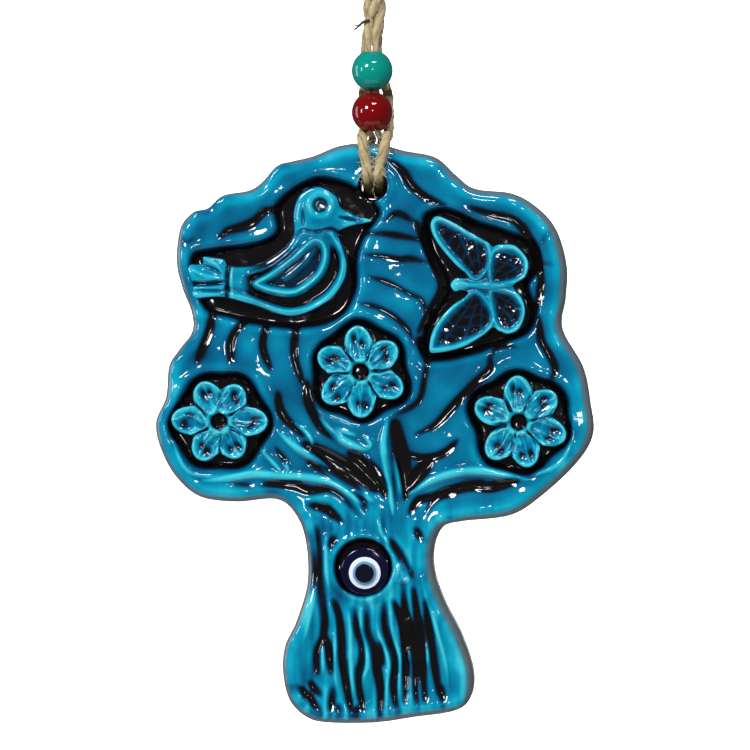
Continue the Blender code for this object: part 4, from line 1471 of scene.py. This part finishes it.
@dataclass
class TwineTube:
    """A jute twine: three plies laid together, drawn as one lobed tube along a route.

    Round the tube, the radius swings with |sin| once for each ply, and the swing turns as it
    goes along. Fine hairs lift the surface a little.
    """

    name: str
    route: Array
    lay: Lay = Lay.RIGHT
    plies: int = 3
    turn_length: float = 20.0
    sides: int = 30
    spacing: float = 0.22
    seed: int = 1
    # Painted shade: below this height, inside the hole's mouth, the strand is darkened.
    shade_height: float = 0.0            # drawing height below which it darkens
    gap: float = 0.0             # drawing height of the shaded gap between the beads

    def frames(self) -> tuple[Array, Array, Array, Array]:
        """Give the even centre line, its radius and two directions across it.

        The first direction starts across the line and is carried along with the least turn.
        """
        even = smooth_line(self.route, self.spacing)
        line, radius = even[:, :3], even[:, 3] / 2
        ahead = np.gradient(line, axis=0)
        ahead /= np.linalg.norm(ahead, axis=1, keepdims=True)
        side = np.zeros_like(line)
        side[0] = np.cross(ahead[0], (0.0, 1.0, 0.0))
        for index in range(1, len(line)):
            carried = side[index - 1] - ahead[index] * (side[index - 1] @ ahead[index])
            side[index] = carried / np.linalg.norm(carried)
        side[0] /= np.linalg.norm(side[0])
        return line, radius, side, np.cross(ahead, side)

    def build(self, finish: bpy.types.Material, body: str | None) -> tuple[bpy.types.Object, Array]:
        """Make the tube with rounded, closed ends.

        Args:
            finish: the jute.
            body: the body it rides on, or None for a piece that rides on no body.

        Returns:
            The piece and its centre line in metres.
        """
        line, radius, side, other = self.frames()
        count = len(line)
        travelled = np.arange(count)[:, None] * self.spacing
        round_angle = 2 * math.pi * np.arange(self.sides)[None, :] / self.sides
        twist = self.lay.value * 2 * math.pi * travelled / self.turn_length
        phase = (round_angle - twist) * self.plies / 2
        lobe = np.abs(np.sin(phase)) ** 0.7
        rng = np.random.default_rng(self.seed)
        rough = rng.normal(size=(count, self.sides))
        rough = (rough + np.roll(rough, 1, 0) + np.roll(rough, -1, 0)) / 3
        swell = 1 + 0.05 * np.sin(travelled * 1.7 + self.seed) + 0.03 * np.sin(travelled * 4.1)
        ends = np.minimum(travelled, travelled[::-1]) / (0.5 * radius[:, None])
        cap = np.sqrt(1 - (1 - ends.clip(0.02, 1)) ** 2)
        reach = radius[:, None] * (0.95 + 0.06 * lobe + 0.05 * rough) * swell * cap
        around = (np.cos(round_angle)[..., None] * side[:, None]
                  + np.sin(round_angle)[..., None] * other[:, None])
        points = (line[:, None] + reach[..., None] * around).reshape(-1, 3)
        numbers = np.arange(count * self.sides).reshape(count, self.sides)
        faces = np.concatenate([strip(b, a) for a, b in zip(numbers, numbers[1:])]).tolist()
        points = np.vstack([points, line[:1], line[-1:]])
        start, end = len(points) - 2, len(points) - 1
        first, last = numbers[0], numbers[-1]
        faces += np.stack([np.full(self.sides, start), np.roll(first, -1), first], 1).tolist()
        faces += np.stack([np.full(self.sides, end), last, np.roll(last, -1)], 1).tolist()
        piece = new_piece(self.name, place(points), faces, finish, "jute", body)
        # Painted shade: the crevices between the plies, the strands inside the hole's mouth and the
        # gap between the beads are darkened.
        shade = (ramp_up(self.shade_height - line[:, 2:], 0, 4.5) * ramp_up(line[:, 1:2], -7.4, -5.0)
                 + bell(line[:, 2:] - self.gap, 0.9))
        painted_shade = np.append((0.5 * (1 - lobe) ** 2 + 1.1 * shade).ravel(), [0.5, 0.5])
        write_number(piece, "painted_shade", painted_shade)
        self._lay_map(piece, numbers, travelled, twist)
        return piece, place(line)

    def _lay_map(self, piece: bpy.types.Object, numbers: Array, travelled: Array,
                 twist: Array) -> None:
        """Write a UV map that follows the plies: round the strand, turning with them, and along."""
        count, sides = numbers.shape
        corners = np.empty(len(piece.data.loops), np.int32)
        piece.data.loops.foreach_get("vertex_index", corners)
        row, column = corners // sides, corners % sides
        tip = corners >= count * sides
        row = np.where(tip, np.where(corners == count * sides, 0, count - 1), row)
        face = np.arange(len(corners)) // 4
        wraps = (column == 0) & (face % sides == sides - 1) & (np.arange(len(corners))
                                                              < 4 * (count - 1) * sides)
        turn = (column + wraps * sides) / sides - twist[row, 0] / (2 * math.pi)
        layer = piece.data.uv_layers.new(name="lay")
        layer.data.foreach_set("uv", np.stack([turn, travelled[row, 0] / 4], 1).ravel()
                               .astype(np.float32))


@dataclass
class Twine:
    """The doubled jute twine: through the tree's hole, the beads and up to the knot and loop."""

    jute: bpy.types.Material
    fuzz: bpy.types.Material
    # Finish of the thick dark fibre and of the dark fluff that is painted shade in the hole.
    dark_fibre_and_hole_shade: bpy.types.Material
    loose: float = 2.5
    squeezed: float = 1.65
    bead_x: float = -0.4
    bead_gap: float = 155.8       # drawing height between the beads
    # Painted shade darkens the strands below this height in the hole.
    hole_shade_height: float = 136.5      # drawing height below which the hole shades the strands
    split: float = 179.5          # where a strand's two ends are cut, out of view
    swing: tuple[float, float] = (170.0, 178.0)
    tilt: tuple[float, float] = (181.2, 187.2)

    def _winding(self, start_angle: float, heights: Array) -> list[tuple]:
        """Give a strand's winding round the cord's axis above the place where the four close."""
        turn = np.radians(start_angle + 15.0 * (heights - 173.6))
        reach = 1.75 - 0.25 * ramp_up(heights, 174, 182)
        return [(r * math.cos(a), r * math.sin(a), z, 2.3)
                for r, a, z in zip(reach, turn, heights)]

    def _route(self, side: int) -> list[tuple]:
        """Give a strand's whole way, down through the beads and back up behind them."""
        narrow, wide, bead = self.squeezed, self.loose, self.bead_x
        spread = 0.2 + side * 3.1
        top = self._winding(-90 + side * 45, np.array([self.split, 177.4, 175.4, 173.6]))
        down = [
            (bead + side * 0.98, -2.3, 170.6, 2.25), (bead + side * 0.9, -2.4, 167.6, narrow),
            (bead + side * 0.9, -2.4, 161, narrow), (bead + side * 0.9, -2.6, self.bead_gap, 1.9),
            (bead + side * 0.9, -3.0, 150, narrow), (bead + side * 0.92, -2.7, 147.3, narrow),
            (0.1 + side * 0.98, -1.7, 145.6, narrow), (0.35 + side * 1.0, 0.4, 144.75, narrow),
            (0.35 + side * 1.05, 3.4, 144.5, 1.8), (side * 1.35, 5.8, 143.3, 2.2),
            (side * 1.45, 6.7, 140.6, wide), (side * 1.4, 6.8, 137.2, wide),
            (side * 1.45, 7.0, 134.2, 2.8), (side * 1.5, 6.5, 131.9, 3.1),
            (side * 1.5, 5, 131.1, 3.0), (side * 1.5, 2.6, 131.5, 2.9),
            (side * 1.4, -2.4, 132.7, wide), (side * 1.4, -5, 133.5, wide),
            (side * 1.4, -6.4, 135, wide),
            (0.1 + side * 1.6, -6.55, 137.4, wide), (0.2 + side * 2.4, -6.55, 140.8, wide),
            (0.3 + side * 2.9, -5.4, 143.6, wide), (spread, -3.2, 144.8, wide),
            (spread, -0.4, 144.9, wide), (spread, 2.3, 146.4, wide), (spread, 4.1, 150.0, wide),
            (side * 3.0, 4.2, 155.7, wide), (-0.6 + side * 1.7, 4.2, 161.5, wide),
            (-1.0 + side * 1.4, 3.6, 168.0, wide),
        ]
        return top + down + self._winding(90 - side * 45, np.array([173.6, 175.4, 177.4,
                                                                    self.split]))

    @staticmethod
    def _level(height: float) -> tuple[float, float, float]:
        """Give the point on the cord's axis at a drawing height, in metres."""
        return tuple(place(np.array([0.0, 0.0, height])))

    def build(self) -> None:
        """Make the strands, the twisted stretch, the knot, the frayed ends and the loop."""
        uppers = self._twisted_stretch()
        knot = self._knot()
        for side, word in ((-1, "left"), (1, "right")):
            tube = TwineTube(f"jute_strand_{word}", np.array(self._route(side)), Lay(side),
                             seed=40 + side, shade_height=self.hole_shade_height, gap=self.bead_gap)
            strand, line = tube.build(self.jute, None)
            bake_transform(strand)
            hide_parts(f"twine_{word}")
            self.loose * MM
        self._loop()
        self._stray_fibres()

    def _twisted_stretch(self) -> list[bpy.types.Object]:
        """Make the four strands between the split and the knot."""
        made = []
        heights = np.linspace(self.split - 0.4, 187.6, 6)
        for number, angle in enumerate((-135, -45, 45, 135)):
            route = np.array(self._winding(angle, heights))
            tube = TwineTube(f"jute_twist_{number + 1}", route, seed=60 + number)
            piece, _ = tube.build(self.jute, None)
            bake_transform(piece)
            made.append(piece)
        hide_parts("twisted_cord", "knot_neck")
        return made

    def _knot(self) -> bpy.types.Object:
        """Make the overhand knot of the gathered strands, and the two frayed ends below it.

        Its line is a trefoil: x and z swing at one and two turns, and y at three.
        """
        low, high = drawn_box("top_knot")
        centre, half = (low + high) / 2, (high - low) / 2
        t = np.linspace(0, 2 * math.pi, 40)
        thick = 2.7
        room = half - thick / 2
        x = room[0] * (np.sin(t) + 1.4 * np.sin(2 * t)) / 2.2
        z = room[2] * (np.cos(t) - 1.4 * np.cos(2 * t)) / 2.2
        y = -room[1] * np.sin(3 * t) * 0.8
        route = np.stack([x + centre[0], y + centre[1], z + centre[2], np.full(40, thick)], 1)
        knot, _ = TwineTube("jute_knot", route, turn_length=7.0, seed=70).build(self.jute, "knot")
        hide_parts("top_knot")
        for side, word in ((-1, "left"), (1, "right")):
            end = np.array([(side * 4.2, 0, 190.4, 2.2), (side * 5.6, 0, 189.7, 2.3),
                            (side * 7.2, 0, 188.2, 2.3), (side * 8.8, 0, 185.9, 2.5)])
            tail, _ = TwineTube(f"jute_end_{word}", end, seed=80 + side).build(self.jute, "knot")
            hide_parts(f"twine_end_{word}")
        return knot

    def _loop(self) -> None:
        """Make the hanging loop, from the knot round the hanging point and back."""
        half = [(1.6, 0, 194.2, 2.4), (3.4, 0, 201, 2.5), (6.4, 0, 209, 2.5), (7.6, 0, 218, 2.5),
                (6.6, 0, 227, 2.5), (4, 0, 233.2, 2.5)]
        route = ([(-x, y, z, d) for x, y, z, d in half] + [(0, 0, HANG_HEIGHT + 1.25, 2.5)]
                 + half[::-1])
        loop, line = TwineTube("jute_loop", np.array(route, float), seed=90).build(self.jute, None)
        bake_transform(loop)
        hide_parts("hanging_loop")
        self.loose * MM

    def _stray_fibres(self) -> None:
        """Make hairs on the strands in front, one thick dark fibre, and dark fluff in the hole that
        is painted shade where the hole lies in shadow.
        """
        rng = np.random.default_rng(5)
        route = smooth_line(np.array(self._route(-1)), 0.5)
        other = smooth_line(np.array(self._route(1)), 0.5)
        both = np.vstack([route, other])
        shown = both[(both[:, 1] < -1.0) & ((both[:, 2] > 169.5) | (both[:, 2] < 145.5))]
        base = shown[rng.integers(0, len(shown), 150)]
        side = rng.choice([-1.0, 1.0], len(base))
        start = base[:, :3] + np.stack([side * base[:, 3] * 0.42, -rng.uniform(0, 0.5, len(base)),
                                        np.zeros(len(base))], 1)
        reach = rng.uniform(0.5, 1.9, len(base))
        lean = rng.normal(0, 1.6, len(base))
        t = np.linspace(0, 1, 6)[None, :, None]
        away = np.stack([side * reach, -0.3 * reach * rng.uniform(0, 1, len(base)), lean], 1)
        curl = np.stack([np.zeros(len(base)), -0.3 * reach, rng.normal(0, 0.8, len(base))], 1)
        lines = start[:, None] + away[:, None] * t + curl[:, None] * t ** 2
        self._hair_piece("jute_hairs", lines, rng.uniform(0.035, 0.075, len(base)), self.fuzz)
        thread = smooth_line([(-1.0, -3.0, 173.4), (-2.6, -3.3, 172.9), (-4.0, -3.0, 171.7),
                              (-5.1, -2.4, 170.9)], 0.3)
        fork = smooth_line([(-3.4, -3.1, 172.3), (-4.4, -3.2, 172.1), (-5.3, -2.9, 171.8)], 0.06)
        fork = fork[np.linspace(0, len(fork) - 1, len(thread)).astype(int)]
        # Painted shade: dark fluff fills the cord hole round the strands, where the hole lies in
        # shadow.
        count, steps = 90, len(thread)
        turn = np.radians(rng.uniform(-165, -15, count)[:, None] + np.linspace(-16, 16, steps))
        reach = rng.uniform(1.7, 2.75, (count, 1)) + rng.normal(0, 0.06, (count, steps))
        deep = rng.uniform(0.5, 4.0, (count, 1)) + np.linspace(-0.4, 0.4, steps)
        hole_shade_fluff = np.stack([reach * np.cos(turn), deep, CORD_HOLE[0][1] + reach * np.sin(turn)], 2)
        self._hair_piece("dark_thread_and_hole_shade", np.concatenate([[thread, fork], hole_shade_fluff]),
                         np.append([0.36, 0.16], rng.uniform(0.08, 0.16, count)), self.dark_fibre_and_hole_shade)

    def _hair_piece(self, name: str, lines: Array, radius: Array,
                    finish: bpy.types.Material) -> None:
        """Make one piece of thin six-sided hairs that taper towards their ends."""
        hairs, steps = lines.shape[:2]
        ahead = np.gradient(lines, axis=1)
        ahead /= np.linalg.norm(ahead, axis=2, keepdims=True)
        side = np.cross(ahead, (0.0, 1.0, 0.0))
        side /= np.linalg.norm(side, axis=2, keepdims=True)
        other = np.cross(ahead, side)
        angle = 2 * math.pi * np.arange(6) / 6
        taper = np.sqrt(1.02 - np.linspace(0, 1, steps) ** 2)
        reach = radius[:, None, None] * taper[None, :, None]
        around = (np.cos(angle)[:, None] * side[:, :, None]
                  + np.sin(angle)[:, None] * other[:, :, None])
        rings = lines[:, :, None] + reach[..., None] * around
        numbers = np.arange(hairs * steps * 6).reshape(hairs, steps, 6)
        first, second = numbers[:, 1:], numbers[:, :-1]
        faces = np.stack([first, second, np.roll(second, -1, 2), np.roll(first, -1, 2)], 3)
        caps = [numbers[:, 0, ::-1], numbers[:, -1]]
        everything = faces.reshape(-1, 4).tolist() + [f for cap in caps for f in cap.tolist()]
        piece = new_piece(name, place(rings.reshape(-1, 3)), everything, finish, "jute", None)
        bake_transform(piece)


# ------------------------------------------------------------------ studio
@dataclass
class Studio:
    """Camera, lights, a small pale floor and a far pale backdrop, just as large as the view needs.

    A larger floor or backdrop would be mirrored all round the glossy rims and beads.
    """

    target: tuple[float, float, float] = (0.4, -4.0, 85.7)
    view_height: float = 185.2
    distance: float = 950.0
    azimuth: float = 4.0

    def camera(self) -> None:
        """Place the camera in front, a little to the right, so that the view's height fills it."""
        data = bpy.data.cameras.new("camera")
        data.sensor_width = 36.0
        data.lens = 36.0 * self.distance / self.view_height
        data.clip_start, data.clip_end = 0.05, 50.0
        camera = bpy.data.objects.new("camera", data)
        turn = math.radians(self.azimuth)
        away = np.array([math.sin(turn), -math.cos(turn), 0.0]) * self.distance
        camera.location = place(np.array(self.target) + away)
        camera.rotation_euler = (math.pi / 2, 0.0, turn)
        bpy.context.scene.collection.objects.link(camera)
        bpy.context.scene.camera = camera

    def lamp(self, name: str, where: tuple[float, float, float], size: tuple[float, float],
             power: float, aim: tuple[float, float, float] = (0, 0, 80),
             shines: bool = True) -> None:
        """Hang a soft box at a drawing place in mm, aimed at another.

        Args:
            name: the lamp's name.
            where: its place.
            size: its width and height in mm.
            power: its power in watts.
            aim: the place it faces.
            shines: whether glossy surfaces mirror it.
        """
        data = bpy.data.lights.new(name, "AREA")
        data.shape, data.size, data.size_y = "RECTANGLE", size[0] * MM, size[1] * MM
        data.energy = power
        lamp = bpy.data.objects.new(name, data)
        lamp.location = place(np.array(where, float))
        line = Vector(place(np.array(aim, float))) - lamp.location
        lamp.rotation_euler = line.to_track_quat("-Z", "Y").to_euler()
        lamp.visible_glossy = shines
        bpy.context.scene.collection.objects.link(lamp)

    def sheet(self, name: str, points: Array, tone: float) -> None:
        """Lay a flat sheet of studio paper through four drawing points."""
        mesh = bpy.data.meshes.new(name)
        mesh.from_pydata(place(points), [], [(0, 1, 2, 3)])
        mesh.materials.append(StudioPaper(name, tone).material())
        sheet = bpy.data.objects.new(name, mesh)
        bpy.context.scene.collection.objects.link(sheet)

    def build(self) -> None:
        """Set up everything but the camera."""
        scene = bpy.context.scene
        scene.view_settings.view_transform = "Standard"
        world = bpy.data.worlds.new("studio_air")
        world.use_nodes = True
        world.node_tree.nodes["Background"].inputs["Color"].default_value = (1, 1, 1, 1)
        world.node_tree.nodes["Background"].inputs["Strength"].default_value = 0.10
        scene.world = world
        left, right, low, high = -800, 450, -440, 640
        self.sheet("backdrop", np.array([(left, 3000, low), (right, 3000, low),
                                         (right, 3000, high), (left, 3000, high)]), 0.9)
        self.sheet("floor", np.array([(-450, -350, low), (450, -350, low), (450, 450, low),
                                      (-450, 450, low)]), 0.8)
        self.lamp("backdrop_lamp_left", (-1500, 1900, 500), (900, 900), 62, (-500, 3000, 100))
        self.lamp("backdrop_lamp_right", (1200, 1900, 500), (900, 900), 62, (100, 3000, 100))
        self.lamp("key", (-460, -820, 560), (225, 225), 6.0)
        self.lamp("top", (170, -560, 720), (280, 90), 3.1)
        self.lamp("fill", (640, -760, 300), (80, 260), 1.6, shines=False)
        self.lamp("low", (-160, -760, -260), (240, 40), 1.0, shines=False)
        self.lamp("front", (110, -930, 250), (85, 85), 0.85)
        self.lamp("side", (-780, -480, 240), (90, 260), 1.5)
        self.lamp("rim_left", (-700, 60, 150), (200, 500), 1.2)
        self.lamp("back", (260, 800, 420), (300, 300), 3.0, shines=False)


# ------------------------------------------------------------------ everything
FLOWERS = [
    Flower(node="flower_left", centre=(-38.2, 74.2), directions=(115, 58, 0, -58, -118, 178),
           lengths=(10.9, 10.6, 12.6, 10.6, 10.9, 12.0), seed=3),
    Flower(node="flower_middle", centre=(-3.1, 86.5), directions=(94, 36, -26, -88, -142, 156),
           lengths=(11.6, 11.4, 12.0, 11.6, 11.8, 11.6), seed=8),
    Flower(node="flower_right", centre=(35.9, 74.1), directions=(91, 37, -18, -76, -130, 157),
           lengths=(11.7, 11.8, 12.6, 11.6, 11.6, 11.8), seed=5),
]


def main() -> None:
    """Build the camera, the cords, the ceramic, the glass and the studio."""
    logging.basicConfig(level=logging.INFO, format="%(message)s")
    studio = Studio()
    studio.camera()
    Twine(Jute().material(),
          Fibre("jute_hair", (0.42, 0.33, 0.18), (0.70, 0.62, 0.44)).material(),
          # This dark finish serves the thick dark fibre and the painted shade in the hole.
          Fibre("dark_hair_and_hole_shade", (0.012, 0.008, 0.004), (0.05, 0.035, 0.02)).material()).build()
    TreeOfLife(Glaze().material(), [Bird(), Butterfly(), *FLOWERS]).build()
    GlassEye({
        "glue": GlueFinish().material(),
        "eye_navy": ClearGlass("eye_navy_glass", (0.002, 0.002, 0.012),
                               (0.003, 0.003, 0.035)).material(),
        "eye_white": ClearGlass("eye_white_glass", (0.68, 0.76, 0.90),
                                (0.78, 0.84, 0.95)).material(),
        "eye_blue": ClearGlass("eye_blue_glass", (0.10, 0.25, 0.48), (0.16, 0.34, 0.58)).material(),
        "eye_pupil": ClearGlass("eye_pupil_glass", (0.002, 0.002, 0.006),
                                (0.004, 0.006, 0.02)).material(),
    }).build()
    Bead("red_bead", "red_bead", ClearGlass("red_bead_glass", (0.20, 0.0, 0.002),
                                            (0.12, 0.0, 0.001)).material()).build()
    Bead("teal_bead", "teal_bead", ClearGlass("teal_bead_glass", (0.0, 0.27, 0.215),
                                              (0.0, 0.22, 0.18)).material()).build()
    studio.build()


if __name__ == "__main__":
    main()
